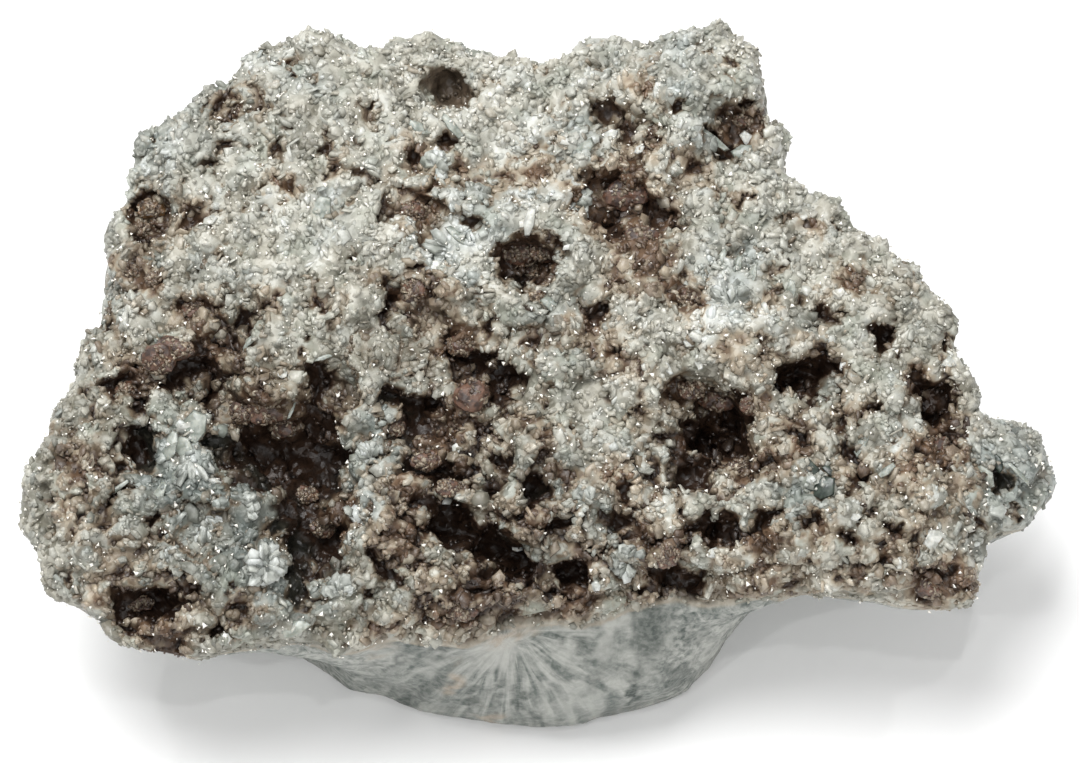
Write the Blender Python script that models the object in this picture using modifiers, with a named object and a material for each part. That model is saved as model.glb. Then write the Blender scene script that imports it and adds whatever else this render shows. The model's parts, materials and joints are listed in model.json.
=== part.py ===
"""A hand specimen of seraphinite, as one stone: a dense green-grey body under a pitted crust of crystals.

Run it with blender --background --python part.py, or from Blender's text editor.
The tables are in millimetres. The mesh is made in metres, +Z up, resting on its flat foot at z = 0.
"""

import math

import bmesh
import bpy
import numpy as np
from mathutils import Vector, noise

NAME = "seraphinite"

# Driving dimensions: the stone's length in metres, and the length in millimetres that the tables are drawn at
LENGTH = 0.0864
DRAWN_LENGTH = 86.4
UNIT = LENGTH / DRAWN_LENGTH

# The crusted face leans towards the front. The tables are drawn as seen from this far above the horizon
FACE_LEAN = math.radians(12)
LOOK_ELEVATION = math.radians(60)
# Height of the middle of the crust's rim over the foot, and how far the crusted face domes over that rim
RIM_HEIGHT = 20.0
FACE_DOME = 5.0
FACE_FULLNESS = 3.2

# The rim of the crust as seen: millimetres to the right of and above the middle of the face, clockwise
RIM_OUTLINE = [
    (-44.1, -10.0), (-43.4, -7.1), (-41.4, -4.0), (-40.4, -1.5), (-38.9, 0.6), (-36.9, 5.0), (-36.6, 7.9),
    (-36.1, 13.8), (-33.8, 16.9), (-32.3, 20.4), (-29.2, 23.6), (-24.6, 27.2), (-22.1, 29.5), (-17.5, 28.7),
    (-13.3, 27.9), (-9.2, 28.7), (-5.0, 28.3), (0.4, 26.8), (5.0, 28.0), (8.3, 28.6), (9.8, 29.4),
    (12.9, 29.9), (16.7, 28.9), (19.1, 27.2), (19.0, 22.1), (21.7, 15.8), (25.5, 13.1), (28.8, 11.4),
    (31.2, 9.0), (34.2, 6.6), (35.3, 3.9), (36.1, 0.5), (35.6, -4.2), (37.1, -10.0), (37.6, -14.6),
    (37.2, -17.8), (35.4, -19.4), (32.6, -19.2), (28.3, -18.0), (23.3, -17.2), (18.1, -18.6),
    (11.7, -18.0), (6.7, -18.4), (1.7, -19.8), (-3.3, -20.7), (-11.7, -21.3), (-19.6, -22.3),
    (-22.5, -21.8), (-25.0, -22.5), (-30.0, -23.3), (-33.4, -22.3), (-36.9, -20.1), (-40.2, -17.2),
    (-42.3, -14.6), (-43.8, -12.7),
]
RIM_CENTRE = (-2.0, 2.0)

# The dense body under the crust, in plan: its waist, and the edge of its foot on the ground.
# The front of both bellies out under the crust, and elsewhere the crust overhangs.
WAIST_HEIGHT = 7.5
WAIST_OUTLINE = [
    (-19.4, -18.6), (-16.4, -20.8), (-12.0, -21.6), (-8.0, -22.6), (-3.0, -23.0), (1.0, -23.0), (5.0, -22.4),
    (9.5, -21.6), (13.8, -19.2), (17.0, -15.8), (20.5, -12.8), (26.0, -12.0), (31.5, -11.0), (34.0, -5.0),
    (33.0, 2.0), (28.0, 9.5), (20.0, 15.5), (17.5, 25.0), (8.0, 26.0), (-4.0, 23.5), (-14.0, 25.5),
    (-24.0, 25.0), (-33.0, 17.0), (-35.0, 8.0), (-38.5, 0.0), (-39.5, -8.0), (-36.0, -13.5), (-30.0, -17.0),
    (-24.0, -17.0),
]
FOOT_OUTLINE = [
    (-18.4, -17.0), (-16.2, -18.6), (-12.8, -18.6), (-11.6, -19.8), (-8.3, -20.4), (-3.3, -21.0),
    (0.8, -21.0), (5.0, -20.4), (9.6, -19.9), (12.6, -18.8), (15.2, -15.4), (17.5, -11.5), (22.0, -8.0),
    (28.0, -6.5), (30.0, 0.0), (24.0, 8.0), (16.0, 12.0), (15.0, 19.0), (7.0, 21.5), (-3.0, 18.5),
    (-12.0, 21.5), (-22.0, 20.0), (-29.0, 14.0), (-31.0, 6.0), (-34.0, -1.0), (-33.0, -9.0), (-27.0, -13.5),
    (-22.0, -13.0),
]
BODY_CENTRE = (-1.0, -1.0)
FOOT_SINK = 0.7

# Blocks that stand proud of the face, as seen: right, up, radius, height
BLOCKS = [
    (-20.0, 16.0, 13.0, 1.6), (13.3, 25.0, 6.5, 2.4), (5.0, 7.5, 10.0, 2.0), (-35.0, -10.0, 8.0, 1.5),
    (-13.5, -9.5, 3.6, 1.8), (1.7, -8.3, 5.6, 1.6), (26.0, -9.5, 8.5, 1.8), (17.0, 3.0, 5.5, 2.4),
    (30.0, 5.0, 6.0, 1.0), (-25.0, -18.0, 5.0, 1.0), (-12.0, 7.0, 6.0, 1.0),
]

# Pits and vugs in the face, as seen: right, up, half width, half height, turn in degrees, depth
VUGS = [
    (-21.3, -5.0, 4.4, 3.6, 0, 6.0), (-17.9, -10.0, 3.0, 6.0, 0, 7.0), (-19.8, -15.0, 2.4, 3.6, 0, 4.5),
    (-28.8, 0.2, 2.5, 1.9, 0, 5.0), (-34.4, -0.7, 2.3, 1.5, 0, 3.6), (-25.4, -2.3, 2.5, 1.7, 0, 4.2),
    (-17.5, -1.0, 1.8, 2.2, 0, 5.0), (-33.3, -5.8, 1.7, 2.0, 0, 5.0), (-11.7, -1.7, 1.9, 1.9, 0, 5.0),
    (-2.9, -0.4, 1.4, 2.3, 0, 4.5), (-6.5, 0.6, 2.4, 2.8, 0, 3.0), (-9.4, -4.6, 1.6, 2.4, 0, 2.4),
    (-7.1, -12.1, 2.3, 2.3, 0, 4.2), (-2.9, -14.6, 3.1, 1.9, -20, 4.6), (1.9, -15.8, 2.6, 1.5, 0, 3.6),
    (0.2, -9.0, 1.4, 1.1, 0, 2.6), (5.0, -11.7, 1.7, 1.3, 20, 3.0), (14.8, -5.0, 2.8, 5.2, 0, 8.0),
    (13.0, -1.2, 2.9, 2.3, 0, 4.6), (12.5, -16.2, 3.2, 1.6, 0, 4.0), (15.2, -11.5, 1.4, 2.4, 0, 4.5),
    (21.7, -0.2, 3.1, 1.6, 0, 5.0), (32.9, -2.4, 1.5, 2.6, 0, 4.5), (33.8, -5.2, 1.8, 1.8, 0, 2.4),
    (6.8, 15.0, 3.6, 2.4, 0, 4.2), (10.3, 13.6, 1.6, 1.4, 0, 3.0), (-0.8, 9.8, 2.4, 1.8, 0, 5.0),
    (-7.9, 24.3, 2.4, 1.9, 0, 5.0), (-10.7, 14.6, 2.3, 1.9, 45, 4.2), (16.3, 21.3, 2.7, 2.0, 0, 4.6),
    (6.3, 22.1, 2.7, 1.3, -30, 2.6), (-25.0, 23.3, 2.6, 1.2, 30, 2.6), (-32.5, 14.2, 1.9, 1.7, 0, 3.0),
    (-34.4, 9.2, 1.4, 1.7, 0, 1.8), (-32.5, -18.3, 3.4, 1.5, 0, 3.0), (-26.0, 4.2, 2.2, 1.3, 15, 2.4),
    (-10.5, 7.6, 1.6, 1.8, 0, 2.4), (-29.0, -12.5, 3.4, 1.3, 35, 2.2), (28.3, 4.0, 1.2, 1.2, 0, 2.6),
]

# Round knobs of crystals that stand in or beside the vugs, as seen: right, up, radius, height
KNOBS = [
    (-21.7, -2.5, 2.1, 4.2), (-5.4, -1.1, 1.8, 2.8), (-34.9, -0.6, 1.1, 2.2), (-8.4, 7.7, 1.4, 2.4),
    (-22.7, -15.0, 2.2, 1.4), (-25.7, -9.0, 2.4, 1.6), (-14.0, -14.5, 2.2, 1.5), (9.6, -13.4, 1.9, 2.0),
    (15.6, -8.8, 1.3, 2.8), (0.2, -11.6, 1.9, 1.4), (30.8, -15.6, 1.9, 1.3), (-16.2, -6.3, 1.5, 2.0),
]

# The dense body shows past the crust as an ear at the right: centre as seen, half sizes, and how far
# its middle lies behind the plane of the rim
EAR_CENTRE = (36.0, -8.1)
EAR_HALF_SIZE = (7.2, 5.4, 5.0)
EAR_SINK = 4.6

# Rosettes are the rounded bunches of crystals that the crust is built of: their size across, and their height
ROSETTE_SIZE = 4.4
ROSETTE_RISE = 1.5
ROSETTE_LEVEL = 0.65
# Flat facets, as size and steepness: of the crystal bunches in the crust, and of the broken body
CRUST_FACETS = [(3.4, 1.4)]
BODY_FACETS = [(15.0, 0.8), (6.0, 0.6)]
# How much of a facet's edge runs into its neighbour, and the step that gives each facet a tilt of its own
FACET_BLEND = 0.3
FACET_SEED_STEP = 17.0
# Roughness, as wavelength and height: of the crust, and of the broken body
CRUST_GRAIN = [(7.0, 0.6), (1.8, 0.4)]
BODY_GRAIN = [(20.0, 1.2), (2.6, 0.3)]
EAR_GRAIN = [(6.0, 0.8), (2.6, 0.4)]
# The belly at the front is smoother than the rest of the broken body: 0 for as rough, 1 for plain
BELLY_SMOOTHNESS = 0.8
BELLY_SIDE = (0.35, 0.7)
# The flanks broke along planes and along thin level ledges
BREAK_COUNT = 18
BREAK_BITE = 3.0
LEDGE_STEP = 4.2
LEDGE_RISE = 1.3

# The turn between one broken plane and the next, which spreads them evenly
GOLDEN_ANGLE = math.pi * (3.0 - math.sqrt(5.0))

# Where the crust ends and the broken body and the sole start, by how steeply the ball's directions face down
CRUST_END = (-0.10, 0.02)
BODY_START = (-0.16, -0.04)
SOLE_START = -0.75

# Mesh steps
FORM_SUBDIVISIONS = 6
VOXEL = 0.7
CUT_TOLERANCE = 1e-4
FACES_KEPT = 9400


def clear_scene():
    """Removes what the startup scene holds."""
    for thing in list(bpy.data.objects):
        bpy.data.objects.remove(thing)


def smooth_step(low, high, value):
    """0 below low, 1 above high, and an S curve between them."""
    share = np.clip((value - low) / (high - low), 0.0, 1.0)
    return share * share * (3.0 - 2.0 * share)


def unit_rows(rows):
    return rows / np.maximum(np.linalg.norm(rows, axis=1, keepdims=True), 1e-9)


def roughness(points, wavelength, offset=0.0):
    """Gradient noise at each point, about -1 to 1."""
    scaled = points / wavelength + offset
    return np.array([noise.noise(Vector(place)) for place in scaled]) * 1.6


class Frame:
    """Three axes in the stone's own frame: right, up and out of a tilted plane."""

    def __init__(self, lean):
        self.right = np.array((1.0, 0.0, 0.0))
        self.up = np.array((0.0, math.cos(lean), math.sin(lean)))
        self.out = np.array((0.0, -math.sin(lean), math.cos(lean)))


FACE = Frame(FACE_LEAN)
SEEN = Frame(math.pi / 2 - LOOK_ELEVATION)
MIDDLE = np.array((0.0, 0.0, RIM_HEIGHT))
FORESHORTENING = float(FACE.up @ SEEN.up)


def as_seen(points):
    """How far right of and above the middle of the face the points look."""
    away = points - MIDDLE
    return away @ SEEN.right, away @ SEEN.up


def outline_radius(outline, centre, angles):
    """The radius of a closed outline about its centre, at each angle."""
    arms = np.array(outline) - centre
    turns = np.arctan2(arms[:, 1], arms[:, 0])
    order = np.argsort(turns)
    lengths = np.hypot(arms[:, 0], arms[:, 1])
    return np.interp(angles, turns[order], lengths[order], period=2 * math.pi)


def rim_points(angles):
    """Points of the crust's rim, which lies in the leaning plane of the face."""
    centre = np.array((RIM_CENTRE[0], RIM_CENTRE[1] / FORESHORTENING))
    outline = np.array(RIM_OUTLINE) / (1.0, FORESHORTENING)
    radius = outline_radius(outline, centre, angles)
    across = centre[0] + radius * np.cos(angles)
    along = centre[1] + radius * np.sin(angles)
    return MIDDLE + across[:, None] * FACE.right + along[:, None] * FACE.up


def body_points(outline, height, angles):
    """Points of one of the body's level outlines."""
    radius = outline_radius(outline, np.array(BODY_CENTRE), angles)
    x = BODY_CENTRE[0] + radius * np.cos(angles)
    y = BODY_CENTRE[1] + radius * np.sin(angles)
    return np.column_stack((x, y, np.full(len(x), height)))


def form_points(directions):
    """The stone's form without relief: each direction of a ball goes to a domed face, a flank or the foot."""
    angles = np.arctan2(directions[:, 1], directions[:, 0])
    latitude = np.arcsin(np.clip(directions[:, 2], -1.0, 1.0))
    rim = rim_points(angles)
    waist = body_points(WAIST_OUTLINE, WAIST_HEIGHT, angles)
    foot = body_points(FOOT_OUTLINE, -FOOT_SINK, angles)
    face_centre = MIDDLE + RIM_CENTRE[0] * FACE.right + RIM_CENTRE[1] / FORESHORTENING * FACE.up
    foot_centre = np.array((*BODY_CENTRE, -FOOT_SINK))

    power = 2.0 / FACE_FULLNESS
    above = np.clip(latitude, 0.0, None)
    spread = np.clip(np.cos(above), 0.0, 1.0) ** power
    rise = FACE_DOME * np.sin(above) ** power
    face = face_centre + (rim - face_centre) * spread[:, None] + rise[:, None] * FACE.out

    below = np.clip(-latitude / (math.pi / 2), 0.0, 1.0)
    down = np.clip(below / 0.5, 0.0, 1.0)[:, None]
    flank = (1 - down) * (1 - 2 * down) * rim + 4 * down * (1 - down) * waist + down * (2 * down - 1) * foot
    sole_share = np.clip((below - 0.5) / 0.5, 0.0, 1.0)[:, None]
    under = flank + (foot_centre - foot) * sole_share
    return np.where(latitude[:, None] >= 0, face, under)


def break_body(points, share):
    """Trims the flanks to broken planes and ledges; share says how much of the trim each point takes."""
    chance = np.random.default_rng(7)
    for k in range(BREAK_COUNT):
        turn = GOLDEN_ANGLE * k
        dip = math.radians(chance.uniform(-55, 0))
        normal = np.array((math.cos(turn) * math.cos(dip), math.sin(turn) * math.cos(dip), math.sin(dip)))
        reach = (points * share[:, None]) @ normal
        limit = reach.max() - chance.uniform(0.4, 1.0) * BREAK_BITE
        points = points - normal * (np.maximum(reach - limit, 0.0) * share * 0.9)[:, None]
    height = (points - MIDDLE) @ FACE.out / LEDGE_STEP + 0.7 * roughness(points, 16.0, 71.0)
    step = height - np.floor(height)
    shelf = smooth_step(0.0, 0.8, step) - smooth_step(0.86, 1.0, step)
    inward = unit_rows((MIDDLE - points) * (1.0, 1.0, 0.0))
    patch = smooth_step(-0.3, 0.4, roughness(points, 20.0, 13.0))
    return points + inward * (LEDGE_RISE * shelf * patch * share)[:, None]


def relief(points):
    """Height of the blocks, knobs and vugs over the plain form, along the line of sight."""
    across, up = as_seen(points)
    warp = 0.22 * roughness(points, 2.4, 31.0) + 0.10 * roughness(points, 1.1, 57.0)
    height = np.zeros(len(points))
    for right, top, radius, rise in BLOCKS:
        away = np.hypot(across - right, up - top) / radius
        height += rise * (1.0 - smooth_step(0.45, 1.35, away + warp))
    sink = np.zeros(len(points))
    for right, top, half_width, half_height, turn, depth in VUGS:
        c, s = math.cos(math.radians(turn)), math.sin(math.radians(turn))
        along = ((across - right) * c + (up - top) * s) / half_width
        over = ((up - top) * c - (across - right) * s) / half_height
        away = np.hypot(along, over) + warp
        sink = np.maximum(sink, depth * (1.0 - smooth_step(0.55, 1.08, away)))
    for right, top, radius, rise in KNOBS:
        away = np.hypot(across - right, up - top) / radius + 0.4 * warp
        sink -= rise * np.sqrt(np.clip(1.0 - away**2, 0.0, 1.0))
    return height - sink


def rosettes(points, size):
    """Rounded bumps packed side by side, with creases between them: 1 at a bump's middle."""
    nearest = np.array([noise.voronoi(Vector(place))[0][0] for place in points / size])
    return 1.0 - np.clip(nearest / 0.75, 0.0, 1.0) ** 2


def facet_height(place, middle):
    """Height of one flat facet at a place, with a tilt that its middle gives it."""
    lean = noise.cell_vector(middle * FACET_SEED_STEP) - Vector((0.5, 0.5, 0.5))
    return (place - middle).dot(lean)


def facets(points, size, steepness):
    """Height of flat facets packed side by side, each tilted its own way about its middle."""
    heights = np.zeros(len(points))
    for k, row in enumerate(points / size):
        place = Vector(row)
        reach, middles = noise.voronoi(place)
        share = 0.5 + 0.5 * min((reach[1] - reach[0]) / FACET_BLEND, 1.0)
        heights[k] = facet_height(place, middles[0]) * share + facet_height(place, middles[1]) * (1.0 - share)
    return heights * size * steepness


def ball(subdivisions):
    """A mesh of an icosphere with its directions as an array."""
    shape = bmesh.new()
    bmesh.ops.create_icosphere(shape, subdivisions=subdivisions, radius=1.0)
    directions = unit_rows(np.array([corner.co for corner in shape.verts]))
    return shape, directions


def move_to(shape, places):
    for corner, place in zip(shape.verts, places):
        corner.co = place


def make_stone_form():
    """The stone's body and crust: a ball pushed out to the form, then broken, roughened and pitted."""
    shape, directions = ball(FORM_SUBDIVISIONS)
    points = form_points(directions)
    crust = smooth_step(*CRUST_END, directions[:, 2])
    body = 1.0 - smooth_step(*BODY_START, directions[:, 2])
    belly = smooth_step(*BELLY_SIDE, -unit_rows(directions * (1, 1, 0))[:, 1])
    broken = body * (1.0 - BELLY_SMOOTHNESS * belly)
    points = break_body(points, broken)
    sideways = unit_rows((points - MIDDLE) * (1.0, 1.0, 0.0))
    grain = np.zeros(len(points))
    for size, steepness in BODY_FACETS:
        grain += facets(points, size, steepness)
    for wavelength, rise in BODY_GRAIN:
        grain += rise * roughness(points, wavelength, 9.0)
    points = points + sideways * (grain * broken)[:, None]
    outward = unit_rows(points - MIDDLE + (0.0, 0.0, RIM_HEIGHT / 3))
    grain = ROSETTE_RISE * (rosettes(points, ROSETTE_SIZE) - ROSETTE_LEVEL)
    for size, steepness in CRUST_FACETS:
        grain += facets(points, size, steepness)
    for wavelength, rise in CRUST_GRAIN:
        grain += rise * roughness(points, wavelength, 3.0)
    points = points + outward * (grain * crust)[:, None]
    points = points + SEEN.out * (relief(points) * crust)[:, None]
    sole = directions[:, 2] < SOLE_START
    points[sole, 2] = np.minimum(points[sole, 2], -0.5 * FOOT_SINK)
    move_to(shape, points)
    return shape


def make_ear():
    """The lump of dense body that sticks out past the crust at the right."""
    shape, directions = ball(4)
    across, up = EAR_CENTRE
    plane_depth = -up * float(FACE.out @ SEEN.up) / FORESHORTENING
    centre = MIDDLE + across * SEEN.right + up * SEEN.up + (plane_depth - EAR_SINK) * SEEN.out
    size = np.array(EAR_HALF_SIZE)
    local = directions * size
    points = centre + local[:, :1] * SEEN.right + local[:, 1:2] * SEEN.up + local[:, 2:] * SEEN.out
    for wavelength, rise in EAR_GRAIN:
        points = points + directions * (rise * roughness(points, wavelength, 5.0))[:, None]
    move_to(shape, points)
    return shape


def object_of(shape, name, collection):
    mesh = bpy.data.meshes.new(name)
    shape.to_mesh(mesh)
    shape.free()
    made = bpy.data.objects.new(name, mesh)
    collection.objects.link(made)
    return made


def fuse(parts, collection):
    """One skin round all the parts, thinned to the faces that the stone keeps."""
    whole = bmesh.new()
    for part in parts:
        piece = bpy.data.meshes.new("piece")
        part.to_mesh(piece)
        part.free()
        whole.from_mesh(piece)
        bpy.data.meshes.remove(piece)
    made = object_of(whole, NAME, collection)
    skin = made.modifiers.new("skin", "REMESH")
    skin.mode = "VOXEL"
    skin.voxel_size = VOXEL
    bpy.context.view_layer.update()
    graph = bpy.context.evaluated_depsgraph_get()
    faces = 2 * len(made.evaluated_get(graph).data.polygons)
    thin = made.modifiers.new("thin", "DECIMATE")
    thin.ratio = FACES_KEPT / faces
    bpy.context.view_layer.update()
    graph = bpy.context.evaluated_depsgraph_get()
    baked = bpy.data.meshes.new_from_object(made.evaluated_get(graph))
    made.modifiers.clear()
    made.data = baked
    return made


def cut_foot(made):
    """Cuts the stone flat at the ground, closes the cut, and centres the stone over the origin in metres."""
    shape = bmesh.new()
    shape.from_mesh(made.data)
    bmesh.ops.bisect_plane(
        shape,
        geom=shape.verts[:] + shape.edges[:] + shape.faces[:],
        dist=CUT_TOLERANCE,
        plane_co=(0, 0, 0),
        plane_no=(0, 0, -1),
        clear_outer=True,
    )
    rim = [edge for edge in shape.edges if edge.is_boundary]
    bmesh.ops.holes_fill(shape, edges=rim, sides=0)
    bmesh.ops.triangulate(shape, faces=shape.faces[:])
    places = np.array([corner.co for corner in shape.verts])
    low, high = places.min(axis=0), places.max(axis=0)
    shift = Vector((-(low[0] + high[0]) / 2, -(low[1] + high[1]) / 2, 0.0))
    for corner in shape.verts:
        corner.co = (corner.co + shift) * UNIT
    bmesh.ops.recalc_face_normals(shape, faces=shape.faces[:])
    shape.to_mesh(made.data)
    shape.free()


def stone_material():
    """Pale green-grey chlorite with a pearly, scaly surface."""
    material = bpy.data.materials.new("seraphinite_stone")
    material.use_nodes = True
    shader = material.node_tree.nodes["Principled BSDF"]
    shader.inputs["Base Color"].default_value = (0.40, 0.42, 0.38, 1.0)
    shader.inputs["Roughness"].default_value = 0.55
    shader.inputs["Metallic"].default_value = 0.0
    return material


def main():
    clear_scene()
    collection = bpy.data.collections.new(NAME)
    bpy.context.scene.collection.children.link(collection)
    stone = fuse([make_stone_form(), make_ear()], collection)
    cut_foot(stone)
    stone.data.materials.clear()
    stone.data.materials.append(stone_material())


main()
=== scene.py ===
import json
import math

import bmesh
import bpy
import numpy as np
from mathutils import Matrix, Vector, noise
from mathutils.bvhtree import BVHTree

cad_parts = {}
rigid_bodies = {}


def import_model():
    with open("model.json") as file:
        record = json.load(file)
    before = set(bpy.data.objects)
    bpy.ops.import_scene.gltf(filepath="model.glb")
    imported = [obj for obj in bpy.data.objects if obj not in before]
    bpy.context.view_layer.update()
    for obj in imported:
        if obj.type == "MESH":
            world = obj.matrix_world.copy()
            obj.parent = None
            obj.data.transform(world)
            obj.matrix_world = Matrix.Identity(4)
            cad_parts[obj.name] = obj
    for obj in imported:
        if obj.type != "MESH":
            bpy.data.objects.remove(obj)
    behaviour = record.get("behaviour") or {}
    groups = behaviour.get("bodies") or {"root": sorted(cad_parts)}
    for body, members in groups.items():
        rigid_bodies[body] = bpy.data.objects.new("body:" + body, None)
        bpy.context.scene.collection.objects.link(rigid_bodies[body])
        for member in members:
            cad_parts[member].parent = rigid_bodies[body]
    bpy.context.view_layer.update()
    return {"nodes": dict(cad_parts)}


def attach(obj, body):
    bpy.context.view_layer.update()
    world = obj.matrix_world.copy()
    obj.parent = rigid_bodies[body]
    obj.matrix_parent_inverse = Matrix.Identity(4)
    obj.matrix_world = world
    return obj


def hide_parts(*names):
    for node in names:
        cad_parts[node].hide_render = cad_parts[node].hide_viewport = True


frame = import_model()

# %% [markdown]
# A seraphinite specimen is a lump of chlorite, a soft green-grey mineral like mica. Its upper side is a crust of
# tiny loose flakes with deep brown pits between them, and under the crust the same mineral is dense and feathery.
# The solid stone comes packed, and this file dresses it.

MM = 0.001

# %% [markdown]
# The stone was drawn as the photograph shows it: from 60 degrees above the horizon, with its crusted face leaning
# a little towards the viewer. The same two tilted sets of axes place every stain and crystal here, so a spot is
# given in millimetres to the right of and above the middle of the face, as it is seen.

# %% Axes of the face and of the view
LOOK_ELEVATION = math.radians(60)
FACE_LEAN = math.radians(12)
FACE_MIDDLE = np.array((0.19, -3.49, 20.0)) * MM


def tilted_axes(lean):
    """Right, up and out of a plane that leans back from level by this angle, as the rows of a matrix."""
    return np.array(((1, 0, 0), (0, math.cos(lean), math.sin(lean)), (0, -math.sin(lean), math.cos(lean))))


FACE = tilted_axes(FACE_LEAN)
SEEN = tilted_axes(math.pi / 2 - LOOK_ELEVATION)

# %% [markdown]
# Roughness, stains and crystals all need the same few tools: a smooth step, unit vectors, and noise for a whole
# table of points at once. Blender's own noise module is used, because it gives the same values on every run.

# %% Small tools for tables of points


def smooth_step(low, high, value):
    """0 below low, 1 above high, and an S curve between them."""
    share = np.clip((value - low) / (high - low), 0.0, 1.0)
    return share * share * (3.0 - 2.0 * share)


def unit(rows):
    return rows / np.maximum(np.linalg.norm(rows, axis=-1, keepdims=True), 1e-12)


def rough(points, wavelength, offset=0.0):
    """Smooth noise from about -1 to 1 at each point."""
    return np.array([noise.noise(Vector(place)) for place in points / wavelength + offset]) * 1.6


def cells(points, size):
    """For each point: how far it is from the middle of its cell, from the next middle, and its own middle."""
    near, next_near, middles = [], [], []
    for place in points / size:
        reach, spots = noise.voronoi(Vector(place))
        near.append(reach[0])
        next_near.append(reach[1])
        middles.append(spots[0])
    return np.array(near), np.array(next_near), np.array(middles) * size


def as_seen(points):
    """Millimetres right of and above the middle of the face, as the photograph shows the points."""
    away = (points - FACE_MIDDLE) / MM
    return away @ SEEN[0], away @ SEEN[1]


def keep_value(mesh, name, values):
    """Stores one number per vertex on a mesh, for its material to read."""
    layer = mesh.attributes.new(name, "FLOAT", "POINT")
    layer.data.foreach_set("value", np.asarray(values, dtype=np.float32))


# %% [markdown]
# The camera comes before the looks, because it decides what has to be fine. A long lens from far away keeps the
# stone's outline as it was drawn, almost without perspective, and shows 90 mm across the picture. It could also be
# flattened with an orthographic camera, but a real photograph always has a little perspective.

# %% Camera
LENS = 400.0
SENSOR = 36.0
VIEW_WIDTH = 90.0 * MM
NEAREST, FARTHEST = 0.05, 10.0


def add_object(name, data):
    """An object with this data, linked to the scene."""
    made = bpy.data.objects.new(name, data)
    bpy.context.scene.collection.objects.link(made)
    return made


camera_data = bpy.data.cameras.new("camera")
camera_data.lens = LENS
camera_data.sensor_width = SENSOR
camera_data.clip_start = NEAREST
camera_data.clip_end = FARTHEST
camera = add_object("camera", camera_data)
bpy.context.scene.camera = camera
look_from = FACE_MIDDLE + SEEN[2] * (VIEW_WIDTH * LENS / SENSOR)
camera.location = look_from
camera.rotation_euler = (math.pi / 2 - LOOK_ELEVATION, 0.0, 0.0)
print("camera is", round(float(np.linalg.norm(look_from - FACE_MIDDLE)), 2), "m away")

# %% [markdown]
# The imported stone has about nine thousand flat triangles, which gives its lumps and pits but not its grain. A copy
# of it is merged and given an even, fine mesh by a voxel remesh, and then everything finer is pushed into that
# copy. Sculpting would do this by hand; moving the points by a few noises gives the same broken look and can be
# run again.

# %% Fine copy of the stone
FINE_VOXEL = 0.46 * MM
SAME_SPOT = 1e-6
SOFTEN_TIMES = 3


def fine_copy(node, voxel):
    """A new object with the node's shape in an even mesh of small squares."""
    shape = bmesh.new()
    shape.from_mesh(node.data)
    bmesh.ops.remove_doubles(shape, verts=shape.verts[:], dist=SAME_SPOT)
    mesh = bpy.data.meshes.new("stone")
    shape.to_mesh(mesh)
    shape.free()
    made = add_object("stone", mesh)
    skin = made.modifiers.new("skin", "REMESH")
    skin.mode = "VOXEL"
    skin.voxel_size = voxel
    bpy.context.view_layer.update()
    graph = bpy.context.evaluated_depsgraph_get()
    fine = bpy.data.meshes.new_from_object(made.evaluated_get(graph))
    made.modifiers.clear()
    made.data = fine
    bpy.data.meshes.remove(mesh)
    return made


def soften(mesh, times):
    """Moves every point halfway to the middle of its neighbours, some times over."""
    shape = bmesh.new()
    shape.from_mesh(mesh)
    every_way = {"use_axis_x": True, "use_axis_y": True, "use_axis_z": True}
    for _ in range(times):
        bmesh.ops.smooth_vert(shape, verts=shape.verts[:], factor=0.5, **every_way)
    shape.to_mesh(mesh)
    shape.free()


def points_and_normals(mesh):
    """The place of every point of a mesh and the direction out of it, as two tables."""
    points = np.empty(len(mesh.vertices) * 3, np.float32)
    mesh.vertices.foreach_get("co", points)
    normals = np.empty(len(mesh.vertices) * 3, np.float32)
    mesh.vertex_normals.foreach_get("vector", normals)
    return points.reshape(-1, 3).astype(float), normals.reshape(-1, 3).astype(float)


stone = fine_copy(frame["nodes"]["seraphinite"], FINE_VOXEL)
soften(stone.data, SOFTEN_TIMES)
points, normals = points_and_normals(stone.data)
print("fine stone:", len(points), "points")

# %% [markdown]
# Two grounds meet on this stone. The crust covers the face and hangs a few millimetres over its rim, also down
# inside the pits; below it the body is dense. Each point's height over the rim plane, and how far it lies inside
# the outermost wall at its own height and turn, tell which ground it is on. The wall is measured from the packed
# stone, so nothing is drawn twice. On the ear at the right the crust hangs lower, and in front it ends at the rim.

# %% Where the crust is
TURNS = 180
LAYER = 1.5 * MM
CRUST_EDGE = 2.6 * MM
EDGE_WIDTH = 1.2 * MM
EAR = (35.0 * MM, 37.0 * MM)
EAR_DROP = 3.0 * MM
FRONT = (-13.0 * MM, -16.0 * MM)
FRONT_EDGE = (-0.9 * MM, -0.1 * MM)
BEHIND_WALL = (2.6 * MM, 3.6 * MM)
FAR_INSIDE = (9.0 * MM, 12.0 * MM)
PIT_FLOOR = (-9.0 * MM, -8.0 * MM)

away = (points - FACE_MIDDLE) @ FACE.T
turns = np.arctan2(away[:, 1], away[:, 0])
reach = np.hypot(away[:, 0], away[:, 1])
turn_bin = ((turns + math.pi) / (2 * math.pi) * TURNS).astype(int) % TURNS
layer_bin = np.floor((away[:, 2] - away[:, 2].min()) / LAYER).astype(int)
wall_bin = turn_bin + TURNS * layer_bin
wall_reach = np.zeros(wall_bin.max() + 1)
np.maximum.at(wall_reach, wall_bin, reach)
inward = wall_reach[wall_bin] - reach

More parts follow.
